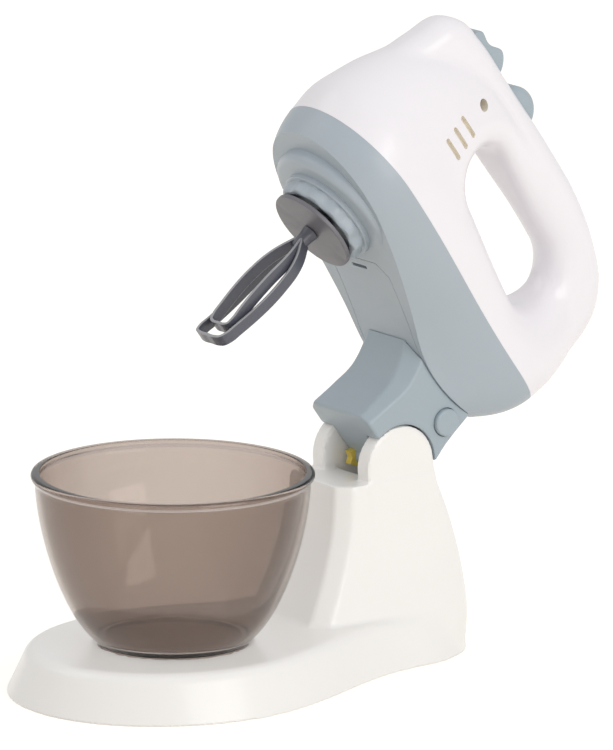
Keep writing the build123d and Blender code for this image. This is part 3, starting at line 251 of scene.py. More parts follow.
def moulded(name, colour, roughness, spread, bump, coat=0.0, metallic=0.0, edge=0.0):
    """Plastic or metal finish: mottled colour, roughness raised where it is rubbed, fine grain bump.

    With an edge share, the colour goes that far to white where the mesh's edge attribute is one: a painted
    highlight on the edges.
    """
    material, wire, grain, shown = begin_finish(name, colour, spread)
    shader = wire.tree.nodes["Principled BSDF"]
    shader.inputs["Metallic"].default_value = metallic
    shader.inputs["Coat Weight"].default_value = coat
    shader.inputs["Coat Roughness"].default_value = COAT_ROUGHNESS
    # Painted highlight: along the mesh's edge attribute the colour goes paler, towards white
    if edge:
        edge_highlight = wire.tree.nodes.new("ShaderNodeAttribute")
        edge_highlight.attribute_name = "edge"
        pale = [channel + (1.0 - channel) * edge for channel in colour]
        shown = wire.blend(edge_highlight.outputs["Fac"], shown, (*pale, 1.0))
    wire.feed(shader.inputs["Base Color"], shown)
    rubbed = wire.math("MULTIPLY", grain.outputs["Rub"], RUB_ROUGHNESS)
    wire.feed(shader.inputs["Roughness"], wire.math("ADD", rubbed, roughness))
    height = wire.node("ShaderNodeBump", Strength=bump, Distance=GRAIN_HEIGHT, Height=grain.outputs["Grain"])
    wire.feed(shader.inputs["Normal"], height.outputs["Normal"])
    return material


def smoky(name, colour):
    """See-through smoky plastic: tinted glass, darker to its edges, with a soft mottle and faint rubbed haze.

    Light for shadows and diffuse surfaces passes straight through it, with a paler tint.
    """
    material, wire, grain, shown = begin_finish(name, colour, SMOKE_SPREAD)
    shader = wire.tree.nodes["Principled BSDF"]
    shader.inputs["Transmission Weight"].default_value = 1.0
    shader.inputs["IOR"].default_value = SMOKE_INDEX
    facing = wire.node("ShaderNodeLayerWeight", Blend=0.5).outputs["Facing"]
    deep = [channel**SMOKE_EDGE for channel in colour]
    shown = wire.blend(wire.math("POWER", facing, SMOKE_GRAZE), shown, (*deep, 1.0))
    wire.feed(shader.inputs["Base Color"], shown)
    rubbed = wire.math("MULTIPLY", grain.outputs["Rub"], SMOKE_RUB)
    wire.feed(shader.inputs["Roughness"], wire.math("ADD", rubbed, SMOKE_ROUGHNESS))
    pale = [channel**SMOKE_SHADOW for channel in colour]
    passing = wire.node("ShaderNodeBsdfTransparent", Color=(*pale, 1.0))
    path = wire.tree.nodes.new("ShaderNodeLightPath").outputs
    straight = wire.math("MAXIMUM", path["Is Shadow Ray"], path["Is Diffuse Ray"])
    wire.feed(wire.tree.nodes["Material Output"].inputs["Surface"], wire.choose(straight, shader, passing))
    return material


def finish_for(key):
    """The material of a finish, made once from the colour settings."""
    name = "finish_" + key
    found = bpy.data.materials.get(name)
    if found:
        return found
    colours, _ = settings()
    if key == "smoke":
        return smoky(name, colours.smoke)
    colour = tuple(colours.dark if key == "beater" else getattr(colours, key))
    return moulded(name, colour, *FINISHES[key])


def dress(key, *nodes):
    """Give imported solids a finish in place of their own."""
    for node in nodes:
        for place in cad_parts[node].material_slots:
            place.material = finish_for(key)


# Angles in degrees over which an edge is shaded sharp
SHARP_SKIN = 30.0
SHARP_COPY = 32.0
SHARP_COLLAR = 35.0
SHARP_TURNED = 40.0
COPY_WELD = 2e-6
NEW_WELD = 1e-6
HEAD_TILT = math.radians(54.0)
PIVOT_Y = 68.3
PIVOT_Z = 84.0
SEAM = 66.0
NOSE_P = 145.5
TAIL_P = -26.0
SHOULDER = 38.4
WAIST = 29.5
SHOULDER_SHARE = 0.235
WAIST_SHARE = 0.86
FLANK_PULL = 0.26
TAIL_SQUARE = 0.84
# Plans of the white dome: rise over the seam, then growth of front, tail, shoulder and waist
DOME = np.array([
    (0.0, 0.0, 0.0, 0.0, 0.0),
    (12.0, 2.0, -2.5, -2.9, -2.5),
    (24.0, 0.0, -4.0, -7.0, -7.5),
    (36.0, -3.5, -4.5, -10.4, -13.5),
    (48.0, -9.5, -4.5, -13.9, -19.0),
    (58.0, -18.0, 0.0, -18.0, -21.0),
    (66.0, -27.0, 9.0, -22.0, -22.5),
    (72.0, -39.0, 20.0, -26.0, -23.5),
])
DOME_TOP = 71.0
DOME_TOP_ROUND = 5.0
DOME_FILLET = 2.0
# Outer line of the handle in side view: forward place and rise over the seam
CREST = np.array([
    (-25.5, 6.0), (-30.0, 20.0), (-31.0, 38.0), (-27.5, 54.0), (-17.5, 65.5),
    (0.0, 73.5), (22.0, 78.5), (48.0, 80.0), (90.0, 80.0), (112.0, 80.3),
    (123.5, 79.0), (131.2, 73.0), (135.0, 59.0), (138.4, 42.0), (140.5, 26.0),
])
CREST_FOOT = np.array([(102.5, 12.0), (0.0, 12.0)])
CREST_STEPS = 100
CREST_GRID = 0.8
CREST_MARGIN = 12.0
HANDLE_HALF = 13.0
HANDLE_ROUND = 9.5
HANDLE_CLEAR = 95.0
HORN_SLIM = 2.2
HORN_RUN = (98.0, 132.0)
# The hand opening in side view: middles and radii of its two ends, and the round of its mouth
GRIP_REAR = (17.0, 37.0)
GRIP_FRONT = (66.5, 41.4)
GRIP_RADII = (16.0, 14.4)
GRIP_MOUTH = 15.0
SEAM_ROOM = -4.0
SEAM_ROUND = 0.8
SEAM_GAP = 0.05
# Skins: both corners of the box that holds the field, and the grid's step
WHITE_GRID = ((-33.0, -5.0, -40.0), (149.0, 84.0, 40.0), 1.15)
STAND_GRID = ((-67.0, -111.0, -1.0), (67.0, 111.0, 103.0), 1.25)
CRADLE_GRID = ((-20.0, -8.0, -21.0), (46.0, 47.0, 21.0), 0.8)
# Recesses of the controls: both ends forward and the floor's rise
SLIDER_RECESS = (87.65, 116.35, 78.6)
SLIDER_HALF = 6.85
BUTTON_RECESS = (63.15, 83.85, 74.15)
BUTTON_HALF = 7.35
SCREW_SPOT = (96.6, 58.5)
SCREW_HOLE = 5.4
SCREW_SEAT = 6.0
VENT_P = 98.6
VENT_RISE = 31.0
VENT_PITCH = 6.6
VENT_COUNT = 3
VENT_LENGTH = 12.0
VENT_WIDTH = 2.4
VENT_DEPTH = 3.2
VENT_SEARCH = 8.0
VENT_STEPS = 120
BASE_FRONT = 73.0
BASE_LOBE = 66.0
BASE_TAIL = 38.0
BASE_REAR = 146.0
BASE_HEIGHT = 20.0
BASE_PULL = 38.0
SKIRT_DRAFT = math.radians(25.0)
SKIRT_ROUND = 4.0
FOOT_ROUND = 1.0
PIVOT_BACK = 105.3
PLATE_EDGE = 2.8
PLATE_ROOM = 2.4
PLATE_BELOW = -5.0
EAR_R = 17.5
EAR_HALF = 20.3
EAR_GAP = 12.0
EAR_LEAN = 5.0
EAR_ROUND = 1.6
EAR_INNER_ROUND = 1.2
EAR_FILLET = 2.0
EAR_RELIEF = 0.6
TROUGH_R = 11.0
TROUGH_ROUND = 0.8
COLUMN_TOP = 78.5
# The column's flare: height, then growth of front, rear, half width and front flat, and bow of the back
COLUMN = np.array([
    (0.00, 27.0, 17.6, 11.7, 6.0, 18.0),
    (0.23, 17.5, 18.8, 9.7, 4.4, 15.0),
    (0.47, 8.7, 16.0, 5.7, 2.3, 11.0),
    (0.74, 2.0, 8.7, 2.2, 0.6, 6.0),
    (1.00, 0.0, 0.0, 0.0, 0.0, 4.0),
]) * (COLUMN_TOP, 1, 1, 1, 1, 1)
COLUMN_REAR = 22.4
COLUMN_CHAMFER = 6.0
COLUMN_FLAT = 14.3
# Rounds of the column's front corners, sides, back and top
COLUMN_ROUNDS = (0.9, 1.2, 5.0, 1.0)
COLUMN_FILLET = 2.4
ARM_FRONT = 31.0
ARM_HALF = 20.5
ARM_BOTTOM = -2.0
ARM_REAR = -11.7
ARM_EDGE = 0.7
ARM_REAR_ROUND = 1.2
ARM_BOTTOM_ROUND = 1.6
HUB_R = 4.5
HUB_HALF = 11.6
HUB_ROUND = 0.6
HUB_FILLET = 1.0
SADDLE_P = 20.0
SADDLE_Q = 35.0
SADDLE_R = 80.4
SADDLE_ROUND = 0.8
# The cradle's front and rear lines: height, growth of the front, growth of the rear, cut of the front corners
CRADLE = np.array([
    (0.0, 0.0, 0.0, 4.0), (13.0, -0.5, 0.0, 4.8), (25.0, 0.2, 2.6, 6.0), (38.0, 7.0, 4.0, 7.6),
    (46.0, 13.0, 4.6, 8.4),
])
# Side view of the notch under the cradle's rear
HEEL = np.array([(-11.7, 13.75), (-7.0, 0.0), (0.0, -14.0), (-18.1, -14.0), (-18.1, 13.75)])
RELEASE_SPOT = (-0.7, 28.4)
RELEASE_ROOM = 12.7
RELEASE_FLOOR = 3.5
RELEASE_STEPS = 48
# Stop cam on the hinge: forward place and height from the pivot
CAM = np.array([
    (-4.0, -2.0), (-2.5, -5.0), (1.5, -7.6), (3.2, -5.2), (6.0, -4.6), (5.0, -1.5), (3.0, 2.0), (-3.0, 2.0),
])
CAM_SIDES = (-9.8, -6.2)
BOWL_Y = -37.0
BOWL_SEAT = 18.8
BOWL_SEAT_R = 32.9
BOWL_SEAT_ROUND = 0.5
BOWL_WALL = 2.0
BOWL_FLOOR = 4.2
BOWL_FLOOR_SHARE = 0.94
BOWL_FLOOR_STEPS = 8
BOWL_STEPS = 160
# Radius and height of the bowl's foot, side and lip
BOWL_UNDER = np.array([(0.0, 2.0), (29.1, 2.0), (29.1, 0.0), (32.3, 0.0)])
BOWL_SIDE = np.array([
    (32.4, 1.4), (36.6, 5.6), (41.6, 12.2), (47.2, 23.0), (51.4, 34.0), (54.7, 45.5), (57.0, 57.0), (58.1, 66.0),
    (58.4, 70.6),
])
BOWL_SIDE_STEPS = 56
BOWL_LIP_MIDDLE = np.array([58.5, 73.1])
BOWL_LIP_R = 1.5
BOWL_LIP_TURN = (-60.0, 90.0)
BOWL_LIP_STEPS = 14
SPINDLE_P = 102.5
# Collar under the nose: radius, height along the spindle and share of the wave
COLLAR = np.array([
    (3.6, 46.0, 0.0), (22.5, 46.0, 0.0), (22.5, 43.9, 0.0), (22.2, 43.6, 0.0), (20.9, 43.5, 0.2),
    (20.8, 43.2, 0.8), (20.8, 42.0, 1.0), (20.6, 39.6, 1.0), (20.2, 38.6, 0.9), (19.4, 38.05, 0.6),
    (18.2, 38.0, 0.1), (17.6, 38.4, 0.0), (17.5, 39.2, 0.0), (17.5, 43.0, 0.0), (3.6, 43.0, 0.0),
    (3.6, 46.0, 0.0),
])
COLLAR_STEPS = 240
COLLAR_LOBES = 12
COLLAR_WAVE = 0.6
# Beater's hub and stem: radius and height along the spindle
BEATER_HUB = np.array([
    (0.0, 23.6), (1.6, 23.6), (2.6, 24.4), (3.1, 26.0), (3.2, 30.0), (3.6, 32.6), (3.9, 33.4), (3.7, 33.7),
    (1.6, 33.7), (1.6, 43.7), (0.0, 43.7),
])
BEATER_HUB_STEPS = 48
BEATER_TOP = 28.0
# Half width, tip along the spindle, and bow ahead of the two loops
BEATER_LOOPS = ((9.4, -31.8, -2.5), (6.6, -24.6, 2.6))
# One side of a loop: share of its half width, with the way down from its top or up from its tip
LOOP_TOP = np.array([(0.0, 0.0), (0.2, 0.6), (0.42, 3.4), (0.72, 8.4), (0.92, 14.5), (1.0, 23.0)])
LOOP_TIP = np.array([(1.0, 9.0), (0.985, 3.6), (0.84, 0.9), (0.5, 0.0), (0.0, 0.0)])
LOOP_STEPS = 241
# Section of the ribbon, one corner, then half and all of it: depth, thickness and paleness of its edges, where a
# highlight is painted
CORNER = np.array([(2.7, 0.45, 1.0), (2.55, 0.65, 1.0), (2.3, 0.65, 0.0)])
HALF_RIBBON = np.concatenate([CORNER, CORNER[::-1] * (-1, 1, 1)])
RIBBON = np.concatenate([HALF_RIBBON, HALF_RIBBON[::-1] * (1, -1, 1)])


def soft_min(first, second, reach):
    """Smaller of two fields, less a quarter of the squared overlap where they differ by under the reach."""
    near = np.maximum(reach - np.abs(first - second), 0.0)
    return np.minimum(first, second) - near * near / (4.0 * reach)


def soft_max(first, second, reach):
    """Larger of two fields, rounded in the same way."""
    return -soft_min(-first, -second, reach)


def cut(body, *faces):
    """The body less what lies beyond each face in turn, rounded by the reach that comes with the face."""
    for face, reach in faces:
        body = soft_max(body, face, reach)
    return body


def smooth_step(low, high, value):
    """From 0 to 1 between low and high, level at both ends: 3 t squared less 2 t cubed."""
    t = np.clip((value - low) / (high - low), 0.0, 1.0)
    return t * t * (3.0 - 2.0 * t)


def through(knots, values, at):
    """Cubic pieces through values at knots, with the mean slope of both neighbours at each knot."""
    slope = np.gradient(values, knots)
    at = np.clip(at, knots[0], knots[-1])
    place = np.clip(np.searchsorted(knots, at) - 1, 0, len(knots) - 2)
    gap = knots[place + 1] - knots[place]
    t = (at - knots[place]) / gap
    start, end = values[place], values[place + 1]
    leave, arrive = slope[place] * gap, slope[place + 1] * gap
    return (
        (2 * t**3 - 3 * t**2 + 1) * start + (t**3 - 2 * t**2 + t) * leave
        + (3 * t**2 - 2 * t**3) * end + (t**3 - t**2) * arrive
    )


def grown(sizes, table, level):
    """Sizes that each grow by a later column of a table, read at a level of its first column."""
    return [size + through(table[:, 0], growth, level) for size, growth in zip(sizes, table.T[1:])]


def cubic(t, a, b, c, d):
    """Cubic curve of four control values."""
    return a * (1 - t) ** 3 + 3 * b * t * (1 - t) ** 2 + 3 * c * t**2 * (1 - t) + d * t**3


# Cubic flanks and the tail's corner, sampled once and read back between the samples
SHARES = np.linspace(0.0, 1.0, 401)
PULL = FLANK_PULL / (WAIST_SHARE - SHOULDER_SHARE)
FLANK_RUN = cubic(SHARES, 0.0, PULL, 1.0 - PULL, 1.0)
FLANK_DROP = cubic(SHARES, 0.0, 0.0, 1.0, 1.0)
FLANK_SLOPE = np.gradient(FLANK_DROP, FLANK_RUN)
CORNER_BACK = cubic(SHARES, 0.0, TAIL_SQUARE, 1.0, 1.0)
CORNER_SIDE = cubic(SHARES, 1.0, 1.0, TAIL_SQUARE, 0.0)
CORNER_TURN = np.arctan2(CORNER_BACK, CORNER_SIDE)
CORNER_REACH = np.hypot(CORNER_BACK, CORNER_SIDE)
CORNER_POWER = 2.6
BASE_RUN = cubic(SHARES, 0.0, BASE_PULL / PIVOT_BACK, 1.0 - BASE_PULL / PIVOT_BACK, 1.0)
# Floors that keep the fields' divisions safe
TINY = 1e-6
LEAST_STEEP = 1e-3
LEAST_TAIL_STEEP = 1e-2


def dome_field(p, rise, x):
    """How far a point is outside the dome's pear-shaped plan at its height.

    The nose is a half ellipse to the shoulder, the flank a cubic with level ends to the waist, and the tail a
    squared-off half ellipse. Each part's excess is divided by its slope, so it is near to a distance.
    """
    front, rear, shoulder, waist = grown((NOSE_P, TAIL_P, SHOULDER, WAIST), DOME, rise)
    length = front - rear
    broad = front - SHOULDER_SHARE * length
    slim = front - WAIST_SHARE * length
    side = np.abs(x)
    ahead, out = np.maximum(p - broad, 0.0) / (front - broad), side / shoulder
    size = np.hypot(ahead, out) + TINY
    steep = np.hypot(ahead / (front - broad), out / shoulder) / size
    nose = (size - 1.0) / np.maximum(steep, LEAST_STEEP)
    back, out = np.maximum(slim - p, 0.0) / (slim - rear), side / waist
    size = np.hypot(back, out) / np.interp(np.arctan2(back, out), CORNER_TURN, CORNER_REACH) + TINY
    steep = np.hypot((back / size) ** CORNER_POWER / (slim - rear), (out / size) ** CORNER_POWER / waist)
    tail = (size - 1.0) / np.maximum(steep, LEAST_TAIL_STEEP)
    t = np.clip((broad - p) / (broad - slim), 0.0, 1.0)
    width = shoulder + (waist - shoulder) * np.interp(t, FLANK_RUN, FLANK_DROP)
    slope = (waist - shoulder) * np.interp(t, FLANK_RUN, FLANK_SLOPE) / (broad - slim)
    flank = (side - width) / np.hypot(1.0, slope)
    return np.where(p > broad, nose, np.where(p < slim, tail, flank))


def smooth_line(points, count):
    """Even samples of the smooth line through points, by the length along its straight steps."""
    run = np.concatenate([[0.0], np.cumsum(np.hypot(*np.diff(points, axis=0).T))])
    at = np.linspace(0.0, run[-1], count)
    return np.stack([through(run, points[:, 0], at), through(run, points[:, 1], at)], -1)


def outline_distance(u, v, ring):
    """Distance from a closed outline of straight steps, below zero where a level ray crosses it an odd time."""
    after = np.roll(ring, -1, 0)
    step = after - ring
    du = u[..., None] - ring[:, 0]
    dv = v[..., None] - ring[:, 1]
    t = np.clip((du * step[:, 0] + dv * step[:, 1]) / (step**2).sum(1), 0.0, 1.0)
    near = np.hypot(du - t * step[:, 0], dv - t * step[:, 1]).min(-1)
    spans = (ring[:, 1] > v[..., None]) != (after[:, 1] > v[..., None])
    crossed = du < dv * step[:, 0] / np.where(step[:, 1] == 0.0, 1e-9, step[:, 1])
    return np.where((spans & crossed).sum(-1) % 2 == 1, -near, near)


class OutlineTable:
    """Distance from a closed outline, worked out once on a fine grid and read back between its points."""

    def __init__(self, ring, step, margin):
        self.low = ring.min(0) - margin
        self.step = step
        count = np.ceil((ring.max(0) + margin - self.low) / step).astype(int) + 1
        axes = [low + step * np.arange(n) for low, n in zip(self.low, count)]
        self.table = outline_distance(*np.meshgrid(*axes, indexing="ij"), ring)

    def __call__(self, u, v):
        """Mean of the four grid values round each point, weighted by nearness."""
        i = np.clip((u - self.low[0]) / self.step, 0.0, self.table.shape[0] - 1.001)
        j = np.clip((v - self.low[1]) / self.step, 0.0, self.table.shape[1] - 1.001)
        a, b = i.astype(int), j.astype(int)
        s, t = i - a, j - b
        low = self.table[a, b] * (1 - s) + self.table[a + 1, b] * s
        high = self.table[a, b + 1] * (1 - s) + self.table[a + 1, b + 1] * s
        return low * (1 - t) + high * t


HANDLE_RING = np.concatenate([smooth_line(CREST, CREST_STEPS), CREST_FOOT])
HANDLE_EDGE = OutlineTable(HANDLE_RING, CREST_GRID, CREST_MARGIN)


def slot_field(u, v, start, end, radii):
    """Distance from a round-ended bar between two points, with a radius for each end."""
    run, climb = end[0] - start[0], end[1] - start[1]
    t = ((u - start[0]) * run + (v - start[1]) * climb) / (run * run + climb * climb)
    t = np.clip(t, 0.0, 1.0)
    return np.hypot(u - start[0] - t * run, v - start[1] - t * climb) - radii[0] - (radii[1] - radii[0]) * t


def white_field(p, rise, x):
    """White housing: dome joined to a round-edged handle, less the hand opening, flat below the seam."""
    dome = soft_max(dome_field(p, rise, x), rise - DOME_TOP, DOME_TOP_ROUND)
    half = HANDLE_HALF - HORN_SLIM * smooth_step(*HORN_RUN, p)
    edge = HANDLE_EDGE(p, rise) + HANDLE_ROUND
    side = np.abs(x) - half + HANDLE_ROUND
    corner = np.hypot(np.maximum(edge, 0.0), np.maximum(side, 0.0))
    handle = corner + np.minimum(np.maximum(edge, side), 0.0) - HANDLE_ROUND
    body = soft_min(dome, handle, DOME_FILLET)
    grip = slot_field(p, rise, GRIP_REAR, GRIP_FRONT, GRIP_RADII)
    return cut(body, (-grip, GRIP_MOUTH), (SEAM_ROOM - rise, SEAM_ROUND))


def ellipse_excess(ahead, side, length, half):
    """How far a point is outside a half ellipse: its scaled size less one, over that size's slope."""
    along, out = np.maximum(ahead, 0.0) / length, side / half
    size = np.hypot(along, out) + TINY
    return (size - 1.0) * size / np.maximum(np.hypot(along / length, out / half), LEAST_STEEP)


def foot_field(x, v, inset):
    """Excess over the foot's plan, drawn in by the inset: half ellipse by the bowl, cubic flank, half ellipse."""
    side = np.abs(x)
    lobe, tail = BASE_LOBE - inset, BASE_TAIL - inset
    bow = ellipse_excess(-v, side, BASE_FRONT - inset, lobe)
    stern = ellipse_excess(v - PIVOT_BACK, side, BASE_REAR - PIVOT_BACK - inset, tail)
    run = np.interp(np.clip(v / PIVOT_BACK, 0.0, 1.0), BASE_RUN, FLANK_DROP)
    flank = side - lobe + (lobe - tail) * run
    return np.where(v < 0.0, bow, np.where(v > PIVOT_BACK, stern, flank))


def cut_corner(forward, side, front, half, flat, depth):
    """Signed distance in front of the slanting face that cuts a plan's front corners."""
    width = half - flat
    reach = np.hypot(width, depth)
    return ((forward - front) * width + (side - flat) * depth) / reach


def column_field(x, y, z):
    """Column: front flat, cut corners, straight sides and a bowed back, each set out by height."""
    sizes = (ARM_FRONT, COLUMN_REAR, EAR_HALF, COLUMN_FLAT, 0.0)
    front, rear, half, flat, bow = grown(sizes, COLUMN, z)
    back = y - PIVOT_Y
    side = np.abs(x)
    bend = (half**2 + bow**2) / (2 * bow)
    stern = np.hypot(x, np.maximum(back - rear + bend, 0.0)) - bend
    corner = cut_corner(-back, side, front, flat + COLUMN_CHAMFER, flat, COLUMN_CHAMFER)
    splay = np.clip((back + front) / (rear + front), 0.0, 1.0)
    flank = side - flat - COLUMN_CHAMFER - (half - flat - COLUMN_CHAMFER) * splay
    return cut(-back - front, *zip((corner, flank, stern, z - COLUMN_TOP), COLUMN_ROUNDS))


def stand_field(x, y, z):
    """Stand: sloping skirt and platform, joined to the column and its ears, less the trough and bowl seat."""
    plan = foot_field(x, y - BOWL_Y, np.maximum(z, 0.0) * math.tan(SKIRT_DRAFT))
    base = soft_max(plan * math.cos(SKIRT_DRAFT), z - BASE_HEIGHT, SKIRT_ROUND)
    body = soft_min(base, column_field(x, y, z), COLUMN_FILLET)
    side = np.abs(x)
    ear = slot_field(y, z, (PIVOT_Y, PIVOT_Z), (PIVOT_Y + EAR_LEAN, PIVOT_Z - 2 * EAR_R), (EAR_R, EAR_R))
    ear = cut(ear, (side - EAR_HALF, EAR_ROUND), (EAR_GAP - side, EAR_INNER_ROUND))
    body = soft_min(body, ear, EAR_FILLET)
    trough = np.maximum(np.hypot(y - PIVOT_Y, z - PIVOT_Z) - TROUGH_R, side - EAR_GAP)
    seat = np.maximum(np.hypot(x, y - BOWL_Y) - BOWL_SEAT_R, BOWL_SEAT - z)
    return cut(body, (-trough, TROUGH_ROUND), (-seat, BOWL_SEAT_ROUND), (-z, FOOT_ROUND))


def cradle_field(p, q, x):
    """Cradle: lofted block with cut front corners under the round saddle, relieved round the ears, with a hub."""
    front, rear, slant = grown((ARM_FRONT, ARM_REAR, 0.0), CRADLE, q - ARM_BOTTOM)
    side = np.abs(x)
    corner = cut_corner(p, side, front, ARM_HALF, ARM_HALF - slant, slant)
    saddle = SADDLE_R - np.hypot(p - SADDLE_P, q - SADDLE_Q - SADDLE_R)
    near = np.hypot(p, q)
    relief = np.maximum(near - EAR_R - EAR_RELIEF, HUB_HALF - side)
    heel = outline_distance(p, q, HEEL)
    body = cut(
        p - front, (corner, ARM_EDGE), (side - ARM_HALF, ARM_EDGE), (rear - p, ARM_REAR_ROUND),
        (ARM_BOTTOM - q, ARM_BOTTOM_ROUND), (saddle, SADDLE_ROUND), (-relief, ARM_EDGE), (-heel, ARM_EDGE),
    )
    hub = soft_max(near - HUB_R, side - HUB_HALF, HUB_ROUND)
    return soft_min(body, hub, HUB_FILLET)


def surface_net(values, axes):
    """Zero surface of a grid of values.

    Each cell that the surface crosses gets one point, the mean of the crossings on its edges, and each crossed
    grid edge gets one face round it, through its four cells.
    """
    inside = values < 0
    span = np.array(values.shape) - 1
    corners = sum(
        inside[i:i + span[0], j:j + span[1], k:k + span[2]].astype(np.int8)
        for i in (0, 1) for j in (0, 1) for k in (0, 1)
    )
    active = (corners > 0) & (corners < 8)
    index = np.full(active.shape, -1)
    index[active] = np.arange(active.sum())
    cells = np.argwhere(active)
    total = np.zeros((len(cells), 3))
    count = np.zeros(len(cells))
    for axis in range(3):
        others = [other for other in range(3) if other != axis]
        for shift in ((0, 0), (0, 1), (1, 0), (1, 1)):
            start = cells.copy()
            start[:, others] += shift
            stop = start.copy()
            stop[:, axis] += 1
            low, high = values[tuple(start.T)], values[tuple(stop.T)]
            cross = (low < 0) != (high < 0)
            spot = start[cross].astype(float)
            spot[:, axis] += low[cross] / (low[cross] - high[cross])
            total[cross] += spot
            count[cross] += 1
    spots = total / count[:, None]
    points = np.stack([np.interp(spots[:, a], np.arange(len(axes[a])), axes[a]) for a in range(3)], -1)
    faces = []
    for axis in range(3):
        others = [(axis + 1) % 3, (axis + 2) % 3]
        low = [slice(1, -1)] * 3
        low[axis] = slice(0, -1)
        high = list(low)
        high[axis] = slice(1, None)
        first, second = inside[tuple(low)], inside[tuple(high)]
        for turn, cross in ((1, first & ~second), (-1, ~first & second)):
            where = np.argwhere(cross)
            where[:, others] += 1
            ring = []
            for shift in ((0, 0), (-1, 0), (-1, -1), (0, -1)):
                cell = where.copy()
                cell[:, others] += shift
                ring.append(index[tuple(cell.T)])
            faces.append(np.stack(ring, -1)[:, ::turn])
    return points, np.concatenate(faces)


def settle(points, field, rounds=3, reach=0.6, apart=0.04, least=0.05):
    """Move points along the field's slope by value over slope, until they lie on its zero surface.

    The slope is taken between points a little apart, and a move goes no further than the reach.
    """
    steps = apart * np.eye(3)
    for _ in range(rounds):
        rise = [(field(*(points + step).T) - field(*(points - step).T)) / (2 * apart) for step in steps]
        slope = np.stack(rise, -1)
        move = -field(*points.T)[:, None] * slope / np.maximum((slope**2).sum(1), least)[:, None]
        length = np.maximum(np.linalg.norm(move, axis=1), 1e-9)
        points = points + move * np.minimum(1.0, reach / length)[:, None]
    return points


def skin(field, lows, highs, step):
    """Points and faces of a field's zero surface between two corners, in millimetres."""
    axes = [np.arange(low - 2 * step, high + 2.5 * step, step) for low, high in zip(lows, highs)]
    points, faces = surface_net(field(*np.meshgrid(*axes, indexing="ij")), axes)
    return settle(points, field), faces


def in_frame(points):
    """Metres in the frame for points given as p forward, rise over the seam and x across, in millimetres."""
    p, rise, x = points.T
    q = rise + SEAM
    y = PIVOT_Y - math.cos(HEAD_TILT) * p + math.sin(HEAD_TILT) * q
    z = PIVOT_Z + math.sin(HEAD_TILT) * p + math.cos(HEAD_TILT) * q
    return np.stack([x, y, z], -1) / 1000.0


def stand_frame(points):
    """Metres in the frame for points given as x, y and height in millimetres."""
    return points / 1000.0


def base_outline(inset, count=72):
    """Half plan of the foot, drawn in by the inset, mirrored into a closed ring of x and y."""
    lobe, tail = BASE_LOBE - inset, BASE_TAIL - inset
    turn = np.linspace(0.0, math.pi / 2, count)
    bow = np.stack([lobe * np.sin(turn), -(BASE_FRONT - inset) * np.cos(turn)], -1)
    share = np.linspace(0.0, 1.0, count)[1:-1]
    flank = np.stack([lobe - (lobe - tail) * np.interp(share, BASE_RUN, FLANK_DROP), share * PIVOT_BACK], -1)
    back = BASE_REAR - PIVOT_BACK - inset
    stern = np.stack([tail * np.cos(turn), PIVOT_BACK + back * np.sin(turn)], -1)
    half = np.concatenate([bow, flank, stern])
    ring = np.concatenate([half, half[-2:0:-1] * (-1.0, 1.0)])
    return ring + (0.0, BOWL_Y)


def stadium(middle, length, width, count=24):
    """Round-ended slot outline along p: a circle whose halves are moved apart."""
    turn = np.linspace(0.0, 2 * math.pi, count, endpoint=False) + math.pi / count
    round_end = np.stack([np.cos(turn), np.sin(turn)], -1) * width / 2
    shift = np.stack([np.sign(np.cos(turn)) * (length - width) / 2, np.zeros(count)], -1)
    return round_end + shift + np.array(middle)


def rectangle(p0, p1, rise0, rise1):
    """Box outline in side view."""
    return np.array([(p0, rise0), (p1, rise0), (p1, rise1), (p0, rise1)])


def ring_faces(rings, size):
    """Four-sided faces between each ring of points and the next, round to the first again."""
    place = np.arange(rings * size).reshape(rings, size)
    after = np.roll(place, -1, 0)
    return np.stack([place, after, np.roll(after, -1, 1), np.roll(place, -1, 1)], -1)


def turned(profile, count):
    """A profile of radius and height turned about the upright axis: radius times cosine and sine of each turn."""
    turn = np.linspace(0.0, 2 * math.pi, count, endpoint=False)
    radius, height = profile.T
    points = np.stack([
        np.outer(np.cos(turn), radius), np.outer(np.sin(turn), radius), np.tile(height, (count, 1)),
    ], -1)
    return points.reshape(-1, 3), ring_faces(count, len(profile))[:, :-1].reshape(-1, 4)


@contextlib.contextmanager
def opened(mesh):
    """The mesh's shape to work on, written back afterwards."""
    shape = bmesh.new()
    shape.from_mesh(mesh)
    yield shape
    shape.to_mesh(mesh)
    shape.free()


def new_mesh(points, faces, key):
    """A mesh in a finish, from an array of points and a list of faces."""
    mesh = bpy.data.meshes.new("skin")
    mesh.from_pydata(points.tolist(), [], faces)
    mesh.validate()
    mesh.materials.append(finish_for(key))
    return mesh


def prism(key, outline, low, high, place=in_frame):
    """A straight bar in a finish: the outline's two measures carried along the third from low to high."""
    count = len(outline)
    ends = [np.column_stack([outline, np.full(count, level)]) for level in (low, high)]
    ring = np.arange(count)
    sides = np.stack([ring, ring + count, np.roll(ring, -1) + count, np.roll(ring, -1)], -1)
    faces = sides.tolist() + [ring.tolist(), (ring[::-1] + count).tolist()]
    mesh = new_mesh(place(np.concatenate(ends)), faces, key)
    with opened(mesh) as shape:
        bmesh.ops.recalc_face_normals(shape, faces=shape.faces)
    return mesh


def weld(mesh):
    """Merge points that coincide, such as those on an axis, and turn all faces outwards."""
    with opened(mesh) as shape:
        bmesh.ops.remove_doubles(shape, verts=shape.verts, dist=NEW_WELD)
        bmesh.ops.recalc_face_normals(shape, faces=shape.faces)


def shade(mesh, sharp):
    """Smooth shading, except across edges that turn by more than an angle in degrees."""
    limit = math.radians(sharp)
    with opened(mesh) as shape:
        for face in shape.faces:
            face.smooth = True
        for edge in shape.edges:
            edge.smooth = edge.calc_face_angle(0.0) < limit


def placed(name, mesh, body, slot, *nodes):
    """An object for a finished mesh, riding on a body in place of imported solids."""
    mesh.name = name
    made = bpy.data.objects.new(name, mesh)
    bpy.context.scene.collection.objects.link(made)
    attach(made, body)
    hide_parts(*nodes)


